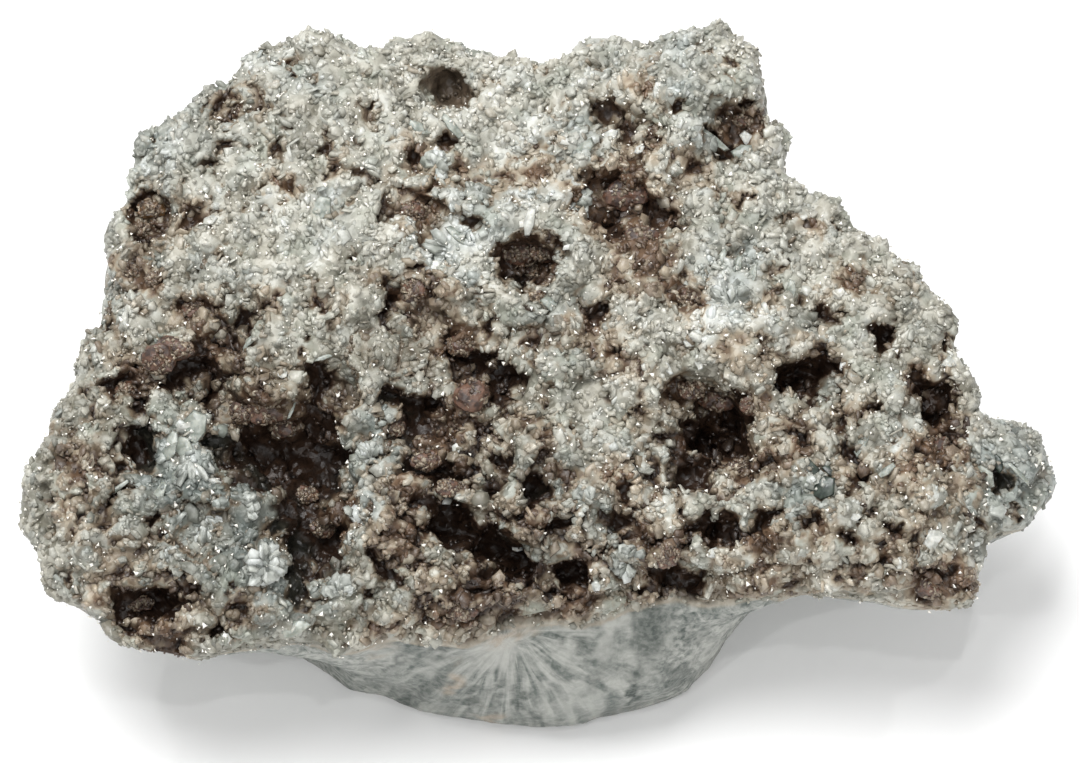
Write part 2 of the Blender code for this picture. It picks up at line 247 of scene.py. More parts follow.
ragged = 0.9 * MM * rough(points, 4.0 * MM, 11.0)
hanging = away[:, 2] + ragged + EAR_DROP * smooth_step(*EAR, points[:, 0])
over_edge = smooth_step(-CRUST_EDGE, -CRUST_EDGE + EDGE_WIDTH, hanging)
to_middle = (normals * unit(FACE_MIDDLE - points)).sum(axis=1)
faces_in = smooth_step(-0.35, -0.05, to_middle + 0.5 * (normals @ FACE[2]))
in_pits = smooth_step(*BEHIND_WALL, inward) * smooth_step(*PIT_FLOOR, away[:, 2])
in_pits *= np.maximum(faces_in, smooth_step(*FAR_INSIDE, inward))
front = smooth_step(*FRONT, away[:, 1])
front_edge = smooth_step(*FRONT_EDGE, away[:, 2] + 0.5 * ragged)
crust = np.maximum(over_edge * (1 - front) + front_edge * front, in_pits)
print("crust share:", round(float(crust.mean()), 2))

# %% [markdown]
# Between its big pits the crust is a froth, broken by many small hollows. They were read from the photograph one by
# one, each with its place as seen, its half length and half width, its turn from level and its depth, and sorted
# here by rows from the top. Their edges are then made ragged with noise, so no hollow keeps its oval.

# %% Hollows read from the photograph
HOLLOWS = [
    (-26.8, 23.7, 1.3, 0.7, 15, 1.2), (-25.7, 22.2, 1.0, 0.4, 75, 1.0), (-23.7, 23.9, 0.6, 0.4, 0, 0.7),
    (-26.2, 19.7, 1.1, 0.6, -25, 1.1), (-27.8, 18.1, 0.9, 0.4, 40, 0.9), (-21.7, 19.4, 1.0, 0.5, -10, 1.3),
    (-17.6, 20.1, 1.0, 0.5, 65, 1.1), (-17.2, 17.6, 0.8, 0.4, 90, 0.9), (-14.6, 17.4, 1.1, 0.5, -15, 1.1),
    (-20.5, 16.2, 0.9, 0.3, -30, 0.6), (-33.0, 14.9, 1.6, 0.8, 60, 1.2), (-33.4, 12.4, 0.9, 0.4, 45, 1.1),
    (-28.7, 14.0, 1.9, 0.5, 10, 1.0), (-24.4, 14.4, 0.7, 0.3, 0, 0.8), (-22.6, 14.5, 0.6, 0.3, -10, 0.7),
    (-16.1, 10.7, 0.9, 0.4, 90, 1.4), (-21.2, 27.2, 0.9, 0.3, -15, 0.8), (-20.7, 26.4, 0.7, 0.3, -20, 0.8),
    (-18.8, 25.6, 0.6, 0.3, 10, 0.6), (-14.5, 25.8, 0.7, 0.3, -20, 0.6), (-14.8, 23.1, 1.0, 0.4, -15, 0.9),
    (-20.8, 21.6, 0.7, 0.3, 20, 0.6), (-13.6, 22.6, 0.7, 0.3, 10, 0.7), (-7.8, 20.2, 0.9, 0.7, -60, 1.6),
    (-10.6, 19.0, 0.9, 0.6, 80, 1.3), (-6.9, 17.9, 1.5, 0.3, 100, 1.0), (-9.0, 16.2, 1.0, 0.5, 40, 1.6),
    (-5.7, 13.3, 0.8, 0.6, -20, 1.4), (-3.0, 16.6, 0.9, 0.4, -30, 0.9), (-3.7, 15.5, 0.5, 0.4, 0, 0.9),
    (-0.2, 17.5, 0.9, 0.6, 0, 0.6), (4.2, 17.2, 0.8, 0.6, -60, 1.6), (5.2, 13.3, 1.5, 0.5, 0, 1.5),
    (9.3, 14.8, 1.3, 0.7, -30, 1.6), (11.0, 13.4, 0.6, 0.5, 0, 1.5), (5.5, 23.0, 1.6, 0.4, -5, 1.2),
    (6.8, 21.6, 1.0, 0.5, -70, 1.3), (9.2, 20.4, 1.0, 0.5, 20, 1.2), (2.4, 24.0, 0.6, 0.4, 40, 0.9),
    (0.7, 25.6, 0.7, 0.3, 10, 0.7), (-2.9, 10.6, 1.2, 0.8, -20, 1.8), (0.8, 11.0, 1.0, 0.7, 60, 1.4),
    (13.1, 17.6, 0.9, 0.5, 20, 1.0), (11.4, 23.3, 1.1, 0.4, -25, 1.1), (9.7, 27.3, 0.7, 0.3, 20, 0.7),
    (13.6, 28.0, 0.8, 0.3, -5, 0.7), (16.5, 27.1, 1.0, 0.4, -25, 0.7), (14.4, 20.7, 0.9, 0.5, -20, 1.8),
    (15.8, 19.6, 0.7, 0.6, 0, 1.5), (17.5, 23.0, 0.8, 0.5, 0, 1.4), (15.3, 22.3, 0.7, 0.6, 0, 1.4),
    (17.2, 15.2, 0.9, 0.4, 50, 1.2), (15.1, 15.8, 1.1, 0.3, -20, 0.7), (20.7, 13.7, 1.0, 0.3, 0, 0.9),
    (22.4, 12.8, 0.6, 0.4, 0, 0.7), (24.7, 12.5, 1.1, 0.4, -30, 1.0),
    (-35.9, 5.6, 1.0, 0.4, 55, 0.9), (-28.9, 6.2, 1.0, 0.8, 0, 1.0), (-33.0, 6.0, 0.6, 0.4, 0, 0.8),
    (-24.4, 5.2, 1.1, 0.7, 80, 1.9), (-18.3, 6.5, 1.3, 0.3, 110, 0.9), (-18.7, 8.7, 0.6, 0.4, 0, 0.9),
    (-26.2, 7.8, 0.6, 0.3, -30, 0.7), (-22.8, 7.0, 0.9, 0.4, 30, 0.8), (-34.4, 1.2, 1.1, 0.7, 60, 1.6),
    (-36.0, -0.4, 2.0, 0.6, 0, 1.5), (-33.0, -1.6, 0.9, 0.7, -20, 1.7), (-29.5, 1.2, 2.4, 0.9, 0, 2.0),
    (-27.2, -1.0, 1.6, 0.6, 90, 1.8), (-30.6, 0.0, 1.3, 0.7, 20, 1.7), (-28.4, 3.0, 0.9, 0.5, -40, 1.2),
    (-26.6, 3.4, 1.4, 0.5, -20, 0.9), (-18.3, 0.3, 1.4, 0.8, 110, 2.0), (-18.4, -3.2, 2.4, 1.1, 90, 2.2),
    (-12.4, 6.7, 1.3, 0.6, 70, 1.6), (-12.6, 8.4, 0.7, 0.6, 0, 1.2), (-10.3, 9.4, 1.0, 0.4, 10, 1.3),
    (-8.9, 8.5, 0.7, 0.3, -30, 1.0), (-8.6, 6.9, 0.6, 0.4, 0, 1.0), (-0.6, 8.9, 1.7, 0.6, 0, 1.6),
    (-1.5, 10.2, 1.3, 0.8, 0, 1.4), (-7.4, 4.0, 1.0, 0.6, 30, 0.8), (-5.8, 1.6, 1.8, 0.7, -20, 1.7),
    (-3.3, 0.6, 1.2, 0.9, -70, 2.0), (-3.3, -1.5, 0.9, 0.7, 0, 1.7), (-10.2, -1.9, 2.0, 0.8, -10, 2.0),
    (-12.2, -0.9, 0.9, 0.5, 30, 1.3), (-10.4, -3.6, 1.6, 1.2, 0, 1.6), (-0.9, 3.2, 0.7, 0.6, 0, 0.9),
    (4.8, 5.6, 0.8, 0.5, -40, 1.2), (12.0, 7.8, 1.0, 0.7, -60, 1.2), (12.8, 6.1, 0.9, 0.6, 0, 1.0),
    (6.0, 1.9, 0.8, 0.5, 20, 0.9), (-4.3, 4.2, 0.8, 0.4, 100, 1.0), (0.3, -3.6, 0.7, 0.4, 0, 1.0),
    (7.9, -2.9, 0.9, 0.4, 20, 1.2), (10.5, -4.2, 1.0, 0.6, 0, 1.6), (22.4, 0.8, 2.6, 0.9, 15, 2.2),
    (19.8, -0.7, 0.9, 0.4, -30, 1.6), (23.2, 2.8, 1.2, 0.5, 0, 1.3), (24.0, 5.5, 1.3, 0.5, -45, 1.3),
    (25.3, 5.6, 0.6, 0.3, 0, 1.1), (21.4, 6.8, 0.5, 0.4, 0, 0.8), (28.4, 3.9, 1.2, 0.6, -45, 1.6),
    (33.9, 3.9, 1.0, 0.4, -30, 1.0), (31.8, -0.9, 1.4, 0.6, -60, 1.9), (33.3, -2.9, 1.2, 0.6, 0, 1.6),
    (31.3, 0.4, 0.8, 0.5, 0, 1.1), (27.7, -1.9, 0.6, 0.4, 0, 0.9), (21.4, -4.0, 0.8, 0.3, -10, 0.7),
    (25.2, -3.9, 0.9, 0.5, -60, 1.3), (16.3, -2.6, 2.0, 1.1, 90, 2.0), (20.2, 9.6, 0.6, 0.4, 0, 0.8),
    (-33.6, -5.8, 1.6, 1.0, 90, 1.8), (-34.6, -9.0, 1.8, 0.6, 30, 1.0), (-31.3, -10.9, 1.5, 0.5, 30, 1.2),
    (-36.2, -11.8, 0.7, 0.3, 30, 0.8), (-38.3, -11.1, 0.6, 0.3, 60, 0.8), (-41.0, -9.6, 0.8, 0.4, -20, 0.8),
    (-31.8, -12.6, 1.0, 0.4, 30, 0.9), (-34.4, -13.2, 1.1, 0.3, 0, 0.6), (-32.4, -18.7, 2.4, 0.9, -5, 1.0),
    (-29.0, -16.8, 1.2, 0.5, -15, 1.3), (-30.7, -16.1, 0.8, 0.4, 0, 1.0), (-33.8, -20.6, 1.6, 0.4, -20, 1.1),
    (-38.6, -16.6, 1.2, 0.3, -60, 0.8), (-31.0, -22.0, 1.4, 0.5, -15, 0.9), (-26.5, -20.8, 0.8, 0.4, 0, 0.9),
    (-25.5, -17.2, 1.2, 0.4, 90, 1.2), (-24.7, -19.4, 1.2, 0.4, 0, 0.8), (-19.9, -16.0, 2.8, 0.9, 85, 1.9),
    (-22.8, -6.8, 3.2, 2.2, 0, 2.0), (-18.9, -7.2, 3.0, 2.3, 90, 2.2), (-20.4, -11.3, 2.2, 2.0, 0, 2.0),
    (-18.3, -13.8, 2.4, 1.2, -50, 1.8), (-17.4, -15.9, 1.3, 0.5, -10, 1.2), (-18.8, -18.4, 1.3, 0.4, 30, 1.2),
    (-26.5, -5.2, 1.5, 1.0, -30, 1.6), (-26.2, -7.7, 0.8, 0.4, 0, 1.0), (-7.9, -7.5, 1.4, 1.1, -20, 1.8),
    (-10.2, -7.0, 1.2, 0.4, 20, 0.9), (-8.2, -10.9, 2.6, 1.1, -35, 2.1), (-4.8, -13.3, 3.0, 0.8, -25, 2.1),
    (-1.1, -15.4, 2.2, 0.8, -40, 2.0), (-3.3, -6.6, 1.2, 0.5, -15, 1.4), (-5.2, -8.8, 1.8, 0.4, -10, 1.3),
    (0.0, -8.8, 1.0, 0.9, -30, 1.9), (-2.5, -11.2, 1.3, 0.4, -10, 1.2), (1.5, -11.8, 1.4, 0.8, 20, 1.7),
    (0.4, -12.8, 0.6, 0.5, 0, 1.3), (6.4, -11.8, 1.1, 0.6, 80, 1.6), (5.5, -13.5, 0.9, 0.4, 40, 1.3),
    (7.2, -9.3, 0.7, 0.5, 90, 1.2), (9.0, -13.3, 1.1, 0.4, -20, 1.3), (10.9, -16.4, 1.8, 1.2, -20, 1.9),
    (12.6, -12.8, 1.6, 0.7, 70, 1.9), (14.0, -12.2, 1.3, 0.6, 85, 1.6), (9.0, -17.4, 1.7, 0.4, -5, 1.4),
    (1.3, -17.6, 1.9, 0.6, -10, 1.6), (-2.6, -17.0, 1.9, 0.4, 5, 1.2), (-5.6, -17.3, 1.3, 0.5, -15, 1.3),
    (-12.5, -16.0, 1.4, 0.6, -40, 1.6), (-9.0, -18.2, 1.5, 0.5, -20, 1.2), (-6.5, -19.4, 1.4, 0.5, 20, 0.9),
    (-13.8, -14.4, 0.9, 0.4, -30, 1.3), (4.0, -16.3, 0.7, 0.5, 0, 1.0), (-14.0, -17.8, 0.9, 0.3, 10, 0.9),
    (12.8, -6.0, 3.0, 1.9, 90, 2.0), (13.0, -17.3, 1.2, 0.7, 70, 1.4), (19.0, -6.8, 1.1, 0.5, 20, 1.2),
    (18.2, -11.7, 1.7, 0.5, 30, 1.2), (22.3, -11.1, 1.2, 0.4, -15, 1.0), (25.6, -6.0, 1.1, 0.4, 95, 1.1),
    (26.4, -7.4, 0.8, 0.3, 80, 0.9), (25.6, -13.3, 1.1, 0.4, -60, 0.9), (29.4, -12.2, 1.2, 0.5, -45, 1.2),
    (27.9, -14.4, 1.1, 0.5, 70, 1.0), (31.3, -12.8, 1.1, 0.4, 90, 0.8), (31.9, -5.9, 0.8, 0.4, 80, 1.0),
    (34.0, -5.3, 0.9, 0.5, 0, 1.1), (32.0, -17.2, 1.2, 0.8, 0, 0.9), (33.5, -15.9, 0.9, 0.5, 20, 0.8),
    (25.5, -16.4, 1.0, 0.3, -20, 0.8), (20.3, -17.0, 0.6, 0.4, 0, 0.7), (17.4, -17.6, 0.9, 0.3, 30, 0.7),
    (36.6, -12.1, 0.9, 0.3, 0, 0.8), (38.4, -8.2, 1.5, 0.7, 100, 1.3), (39.8, -10.8, 0.8, 0.4, 60, 0.8),
]
RAGGED = 0.55
BRINK = (0.7, 1.3)


def along_and_across(east, north, half_length, half_width, turn):
    """Where a point lies along and across a turned oval, counted in the oval's own half sizes."""
    turn = math.radians(turn)
    along = (east * math.cos(turn) + north * math.sin(turn)) / half_length
    across = (north * math.cos(turn) - east * math.sin(turn)) / half_width
    return along, across


right_of, above = as_seen(points)
crumble = [rough(points, 1.4 * MM, start) + 0.5 * rough(points, 0.7 * MM, start + 5) for start in (40.0, 60.0)]
on_face = crust * smooth_step(-0.1, 0.3, normals @ SEEN[2])
hollow = np.zeros(len(points))
drop = np.zeros(len(points))
for right, up, half_length, half_width, turn, depth in HOLLOWS:
    east = right_of - right + RAGGED * crumble[0]
    north = above - up + RAGGED * crumble[1]
    along, across = along_and_across(east, north, half_length, half_width, turn)
    inside_it = (1.0 - smooth_step(*BRINK, np.hypot(along, across))) * on_face
    hollow = np.maximum(hollow, inside_it)
    drop = np.maximum(drop, inside_it * depth)
print(len(HOLLOWS), "hollows, share of the crust:", round(float((hollow[crust > 0.5] > 0.5).mean()), 2))

# %% [markdown]
# The froth itself is bunches two to three millimetres across, made of lumps of about one millimetre, with creases
# between them. Cell noise gives lumps and creases in one go, because it knows how far each point is from the middle
# of its cell and from the next cell. Hollows go in along the line of sight, so they stay where they were read. The
# dense body gets only shallow grain, and the sharp corner of the top right block is pulled in to a round one.

# %% Fine relief
BUNCH_SIZE = 2.9 * MM
BUNCH_RISE = 0.75 * MM
LUMP_SIZE = 1.25 * MM
LUMP_RISE = 0.34 * MM
CREASE_DEPTH = 0.45 * MM
WANDER = 0.5 * MM
FINE_RISE = 0.10 * MM
CALM_RIM = 0.6
BODY_RISE = 0.22 * MM
BODY_FINE_RISE = 0.08 * MM
FOOT_HEIGHT = 0.8 * MM
SHARP_CORNER = (18.8, 28.6)
CORNER_RADIUS = 2.4
CORNER_PULL = 1.5
DUSKY_PARTS = [
    (-27.0, 1.0, 8.0, 0.8), (-32.0, -18.0, 6.0, 0.7), (-20.0, -10.0, 6.0, 0.9), (-9.0, -1.0, 7.0, 0.8),
    (-6.0, -10.0, 7.0, 0.9), (-6.0, -18.0, 9.0, 1.0), (6.0, -15.0, 8.0, 1.0), (13.0, -8.0, 5.0, 0.7),
    (22.0, -11.0, 7.0, 0.4), (31.0, -13.0, 7.0, 0.5), (33.0, -2.0, 5.0, 0.6), (24.0, 1.0, 5.0, 0.5),
    (7.0, 13.0, 5.0, 0.7), (-10.0, 17.0, 4.0, 0.5), (2.0, 5.0, 5.0, 0.4), (-38.0, -8.0, 6.0, 0.5),
    (-33.0, 12.0, 4.0, 0.5), (9.0, 22.0, 4.0, 0.4), (-26.0, 22.0, 4.0, 0.3),
]
WAVY = 0.6

wavy_right = right_of + WAVY * crumble[0]
wavy_up = above + WAVY * crumble[1]


def blotches(spots):
    """The sum at every point of soft round spots, each with its place as seen, its radius and its strength."""
    total = np.zeros(len(points))
    for right, up, radius, strength in spots:
        total += strength * np.exp(-((wavy_right - right) ** 2 + (wavy_up - up) ** 2) / radius**2)
    return total


dusky = np.clip(blotches(DUSKY_PARTS), 0.0, 1.2) * on_face
rim = 1.0 - smooth_step(0.10, 0.50, normals @ FACE[2])
wander = np.column_stack([rough(points, 2.0 * MM, start) for start in (3.0, 13.0, 23.0)])
bunch_near, bunch_next, _ = cells(points + WANDER * wander, BUNCH_SIZE)
lump_near, lump_next, _ = cells(points + 0.5 * WANDER * wander + 0.05, LUMP_SIZE)
bunch = 1.0 - np.clip(bunch_near / 0.7, 0.0, 1.0) ** 2
lump = 1.0 - np.clip(lump_near / 0.7, 0.0, 1.0) ** 2
bunch_crease = 1.0 - smooth_step(0.0, 0.16 + 0.14 * dusky, bunch_next - bunch_near)
lump_crease = 1.0 - smooth_step(0.0, 0.18 + 0.10 * dusky, lump_next - lump_near)
crust_relief = BUNCH_RISE * (bunch - 0.65) + LUMP_RISE * (lump - 0.5)
gap = smooth_step(-0.5, 0.9, rough(points, 3.5 * MM, 45.0))
crust_relief -= CREASE_DEPTH * (0.3 + 1.1 * gap + dusky) * bunch_crease
crust_relief += FINE_RISE * rough(points, 0.8 * MM, 5.0)
crust_relief *= 1.0 - CALM_RIM * rim
body_relief = BODY_RISE * rough(points, 3.0 * MM, 8.0) + BODY_FINE_RISE * rough(points, 0.9 * MM, 9.0)
off_foot = smooth_step(0.0, FOOT_HEIGHT, points[:, 2])
shift = (crust_relief * crust + body_relief * (1 - crust)) * off_foot
points = points + normals * shift[:, None] - SEEN[2] * (drop * MM * off_foot)[:, None]
corner_distance = np.hypot(right_of - SHARP_CORNER[0], above - SHARP_CORNER[1])
corner_pull = CORNER_PULL * MM * np.exp(-((corner_distance / CORNER_RADIUS) ** 2))
points = points - (0.8 * SEEN[0] + 0.6 * SEEN[1]) * corner_pull[:, None]
stone.data.vertices.foreach_set("co", points.astype(np.float32).ravel())
stone.data.update()
print("relief, mm:", round(shift.min() / MM, 2), "to", round(shift.max() / MM, 2))

# %% [markdown]
# Deep in the pits the crystals are stained brown and little light gets in, so their colour is also darkened there
# with painted shade. How open each point is to the sky is measured with a few rays, as a person would judge it by
# eye, and it later drives both the colour of the stone, as stain and painted shade, and where the flakes sit.

# %% How open each point is
SKY_RAYS = 16
SKY_REACH = 6.0 * MM
RAY_LIFT = 0.08 * MM
RAY_LEAN = 1.02
SOME_CRUST = 0.02

_, normals = points_and_normals(stone.data)
stone.data.calc_loop_triangles()
corners = np.empty(len(stone.data.loop_triangles) * 3, np.int32)
stone.data.loop_triangles.foreach_get("vertices", corners)
triangles = corners.reshape(-1, 3)
solid = BVHTree.FromPolygons(points.tolist(), triangles.tolist())
chance = np.random.default_rng(11)
sky = unit(chance.normal(size=(SKY_RAYS, 3)))
openness = np.ones(len(points))
for k in np.flatnonzero(crust > SOME_CRUST):
    start = Vector(points[k] + normals[k] * RAY_LIFT)
    rays = unit(sky + normals[k] * RAY_LEAN)
    blocked = sum(solid.ray_cast(start, Vector(ray), SKY_REACH)[0] is not None for ray in rays)
    openness[k] = 1.0 - blocked / SKY_RAYS
print("stone:", len(triangles), "triangles")
print("openness:", np.round(np.percentile(openness[crust > 0.5], (5, 25, 50, 75, 95)), 2))

# %% [markdown]
# Iron has stained parts of the crust tan, rusty or deep brown. Where it did is a matter of this one stone, so the
# larger stains are listed one by one, each with its place as seen, its radius and its strength. Weak noise breaks
# them up, and creases and closed places take more. Paler, duller and bluer parts of the crust are listed the same
# way. The result is a few numbers stored on every point, which the material reads.

# %% Stains, pale parts and painted shade
STAINS = [
    (-32.6, 13.6, 1.8, 1.0), (-34.2, 9.2, 1.7, 1.1), (-32.3, 8.4, 1.0, 0.7), (-39.5, -5.0, 2.6, 0.5),
    (-37.8, -7.2, 2.2, 0.7), (-38.5, -11.5, 1.6, 0.5), (-36.0, 3.5, 1.6, 0.5), (-25.2, 23.0, 1.5, 0.9),
    (-20.8, 16.2, 1.2, 0.6), (-17.0, 18.8, 1.0, 0.5), (-22.5, 16.4, 1.5, 0.3), (-28.8, 6.0, 1.6, 0.8),
    (-22.8, 6.9, 1.3, 0.7), (-18.3, 7.0, 1.4, 0.6), (-27.0, 3.0, 2.2, 0.8), (-24.6, 1.6, 1.3, 0.5),
    (-23.6, -0.9, 1.5, 0.8), (-31.8, 1.8, 1.8, 0.9), (-34.4, -0.8, 1.3, 1.0), (-22.0, -3.5, 2.6, 1.3),
    (-17.4, -3.0, 1.6, 0.8), (-16.0, -10.5, 1.6, 0.8), (-17.6, -12.0, 1.6, 0.9), (-24.3, -19.2, 1.8, 0.8),
    (-32.5, -18.8, 2.8, 1.0), (-31.0, -22.2, 1.8, 1.0), (-29.5, 14.4, 2.0, 0.5), (-10.6, 19.0, 1.3, 1.0),
    (-6.7, 17.5, 1.5, 0.7), (-10.5, 14.6, 1.8, 1.1), (-2.5, 17.0, 1.8, 0.5), (0.3, 17.4, 1.8, 0.6),
    (1.6, 20.6, 1.8, 0.4), (-1.6, 19.2, 2.2, 0.25), (7.8, 24.6, 1.2, 0.9), (9.4, 26.2, 1.6, 0.4),
    (9.0, 20.6, 1.6, 0.8), (6.6, 15.3, 2.8, 1.3), (8.6, 12.2, 2.4, 1.0), (8.4, 10.2, 2.0, 0.8),
    (10.2, 9.0, 1.8, 0.6), (12.6, 7.2, 1.6, 1.3), (7.0, 8.6, 1.6, 0.5), (12.8, 17.8, 1.4, 1.0),
    (17.6, 22.0, 1.4, 0.9), (16.0, 21.4, 1.4, 1.0), (16.2, 15.6, 1.6, 0.6), (22.6, 12.9, 1.3, 0.7),
    (-10.4, 7.6, 2.2, 0.9), (-7.4, 7.2, 1.4, 0.7), (-6.8, 3.2, 1.8, 1.1), (-5.6, -1.0, 1.8, 0.9),
    (-14.4, 9.0, 1.4, 0.5), (-7.4, -3.6, 2.0, 0.9), (-1.5, -3.2, 1.4, 0.7), (-0.6, 10.0, 1.8, 1.1),
    (-1.2, 3.3, 1.3, 0.7), (2.0, 3.4, 1.6, 0.5), (4.8, 5.4, 1.3, 0.9), (5.8, 2.2, 1.6, 0.8),
    (7.8, 1.0, 1.4, 0.3), (15.5, 2.6, 1.8, 0.5), (18.2, 2.0, 1.8, 0.7), (11.2, -1.2, 1.6, 0.5),
    (18.9, 7.4, 1.2, 0.9), (26.3, 8.5, 1.3, 1.3), (25.0, 9.2, 1.4, 0.4), (30.0, 8.0, 1.5, 0.5),
    (17.6, -2.0, 1.5, 0.9), (21.4, -3.8, 1.2, 0.8), (25.8, -2.6, 1.5, 0.6), (33.4, -4.6, 1.8, 1.0),
    (31.2, 0.2, 1.2, 0.9), (23.0, 2.6, 1.4, 0.8), (8.0, -2.8, 1.2, 0.7), (-9.4, -5.6, 1.6, 1.0),
    (-10.6, -8.4, 1.6, 0.8), (-11.6, -13.2, 2.2, 0.8), (-6.0, -7.0, 1.4, 0.5), (0.6, -5.0, 1.5, 0.6),
    (2.4, -7.8, 1.1, 0.7), (-1.2, -11.0, 1.8, 0.8), (0.2, -12.0, 1.2, 0.6), (-6.0, -15.6, 1.8, 0.7),
    (-6.2, -18.8, 2.2, 1.1), (-3.4, -17.8, 2.2, 0.8), (-13.4, -20.4, 2.0, 0.5), (-10.0, -19.6, 1.6, 0.4),
    (7.2, -9.0, 1.4, 1.0), (5.4, -7.6, 1.4, 0.6), (8.8, -13.0, 1.4, 0.8), (10.4, -14.2, 1.4, 0.9),
    (3.0, -15.0, 1.6, 0.6), (2.6, -18.6, 1.6, 0.8), (9.0, -17.8, 1.8, 0.8), (12.0, -12.0, 1.2, 0.5),
    (16.6, -7.4, 1.3, 1.0), (20.0, -5.6, 2.2, 0.7), (18.8, -6.6, 1.2, 0.8), (18.4, -12.6, 1.6, 0.9),
    (22.0, -13.0, 3.0, 0.4), (17.0, -15.0, 2.6, 0.3), (25.8, -7.2, 1.3, 0.8), (23.6, -11.4, 1.4, 0.7),
    (30.8, -7.2, 2.4, 0.6), (33.0, -5.8, 1.6, 0.8), (31.2, -12.4, 1.3, 1.0), (28.6, -8.6, 1.6, 0.5),
    (36.4, -7.8, 1.6, 0.6), (34.6, -10.6, 1.8, 0.6), (26.0, -16.2, 1.2, 0.9), (29.4, -16.2, 1.4, 0.6),
    (32.2, -17.2, 1.9, 1.1), (34.0, -16.0, 1.5, 1.0), (35.4, -17.2, 1.3, 0.9), (20.0, -17.8, 2.6, 0.5),
    (16.8, -18.2, 1.8, 0.5), (28.4, -13.6, 1.5, 0.5), (-35.0, -15.0, 2.8, 0.3), (-37.0, -18.0, 1.6, 0.4),
]
PALE_PARTS = [
    (-20.0, 12.0, 6.0, 0.2), (-12.0, 21.5, 3.0, 0.4), (-28.0, -12.0, 3.0, 0.5), (-31.0, -7.0, 2.5, 0.4),
    (-29.0, -4.0, 1.6, 0.7), (-36.5, -13.5, 2.6, 0.4), (15.8, 8.0, 3.5, 0.5), (13.5, 4.0, 2.5, 0.5),
    (21.0, 12.0, 4.0, 0.2), (13.0, 26.0, 3.0, 0.3), (-6.5, 10.5, 2.2, 0.5), (-8.0, 12.0, 2.6, 0.4),
    (3.0, 15.0, 1.4, 0.7), (-3.5, 12.5, 1.6, 0.4), (7.0, -4.6, 2.4, 0.5), (-13.5, -7.0, 1.8, 0.4),
    (-14.5, -11.5, 1.8, 0.6), (-2.6, -6.0, 1.6, 0.3), (-3.5, -13.0, 1.2, 0.4), (4.0, -9.0, 2.4, 0.4),
    (29.5, -4.6, 1.6, 0.5), (9.5, -10.0, 2.0, 0.4), (16.5, -9.6, 2.0, 0.4), (-30.0, 24.0, 3.0, 0.2),
    (0.0, 22.0, 12.0, 0.35), (-26.0, -12.0, 12.0, -0.78), (-2.0, -12.0, 9.0, -0.35), (-39.0, -6.0, 6.0, -0.05),
    (24.0, -12.0, 10.0, -0.02), (0.0, 4.0, 6.0, -0.25), (34.0, -2.0, 5.0, -0.05), (-12.0, 2.0, 6.0, -0.2),
    (22.5, -8.8, 2.6, -0.35), (38.5, -8.0, 2.5, -0.3), (-35.0, 22.0, 5.0, -0.1), (0.0, 12.0, 5.0, -0.1),
]
COOL_PARTS = [
    (-28.0, -8.0, 5.0, 0.9), (-23.0, -15.0, 4.5, 0.9), (-31.0, -5.5, 3.0, 0.7), (-36.0, -14.0, 4.0, 0.4),
    (-15.0, -9.5, 4.0, 0.7), (-14.0, -2.0, 3.0, 0.6), (-33.0, 18.5, 4.0, 0.6), (-36.0, 8.0, 3.0, 0.6),
    (-28.0, 25.0, 4.0, 0.5), (-20.0, 27.0, 4.0, 0.3), (-8.0, 12.0, 4.0, 0.7), (-4.0, 15.0, 3.0, 0.5),
    (3.0, 19.0, 4.0, 0.7), (1.0, 6.0, 4.0, 0.5), (16.0, 9.0, 4.0, 0.6), (14.0, 20.0, 3.0, 0.5),
    (11.0, 27.0, 4.0, 0.5), (9.0, -7.0, 3.0, 0.4), (21.0, -9.0, 4.0, 0.7), (39.0, -8.0, 4.5, 1.0),
    (30.0, -6.0, 3.0, 0.4), (2.0, -9.0, 4.0, 0.4), (-3.0, -13.0, 3.0, 0.3), (6.0, -14.0, 3.0, 0.4),
    (-20.0, -19.0, 3.0, 0.5), (-12.0, -6.0, 3.0, 0.5), (-18.0, 14.0, 2.5, 0.5), (-24.0, 9.0, 3.0, 0.3),
]

patchy = rough(points, 3.0 * MM, 21.0)
fine_patch = rough(points, 1.0 * MM, 33.0)
creases = np.maximum(0.8 * bunch_crease, 0.6 * lump_crease)
rusty = blotches(STAINS)
closed = 1.0 - smooth_step(0.30, 0.80, openness)
stain = rusty * (0.80 + 0.45 * fine_patch) + 0.16 * patchy + 0.14 * fine_patch - 0.10
stain += (0.16 + 0.16 * gap + 0.40 * np.clip(rusty, 0, 1) + 0.45 * dusky) * creases + 0.55 * closed + 0.35 * hollow
stain = np.clip(stain, 0.0, 1.0) * crust
# Painted shade, which the material turns nearly black: more the more closed a point is, in the deeper hollows and in
# the creases of the dusky parts, and less towards the top of the face.
deep = 1.0 - smooth_step(0.16, 0.58, openness + 0.06 * fine_patch)
deep = np.maximum(deep, hollow * smooth_step(0.5, 1.7, drop + 0.25 * fine_patch))
deep = np.clip(deep + 0.7 * (dusky + 0.5 * gap - 0.35) * bunch_crease * (0.6 + 0.5 * fine_patch), 0.0, 1.0) * crust
deep *= 1.0 - 0.35 * smooth_step(4.0, 12.0, above)
# The tone is noise and the pale parts, a little lighter towards the middle of each bunch. It is then darkened in
# creases, closed places and hollows as painted shade, and made a little darker on the rim.
bright = 0.47 + 0.20 * patchy + 0.14 * rough(points, 1.3 * MM, 61.0) + 0.5 * blotches(PALE_PARTS)
bright += 0.10 * (bunch - 0.5)
bright = np.clip(bright - 0.26 * creases - 0.25 * closed - 0.15 * hollow - 0.10 * rim, 0.0, 1.0)
cool = np.clip(blotches(COOL_PARTS) + 0.35 * rough(points, 2.2 * MM, 71.0) + 0.12, 0.0, 1.0)

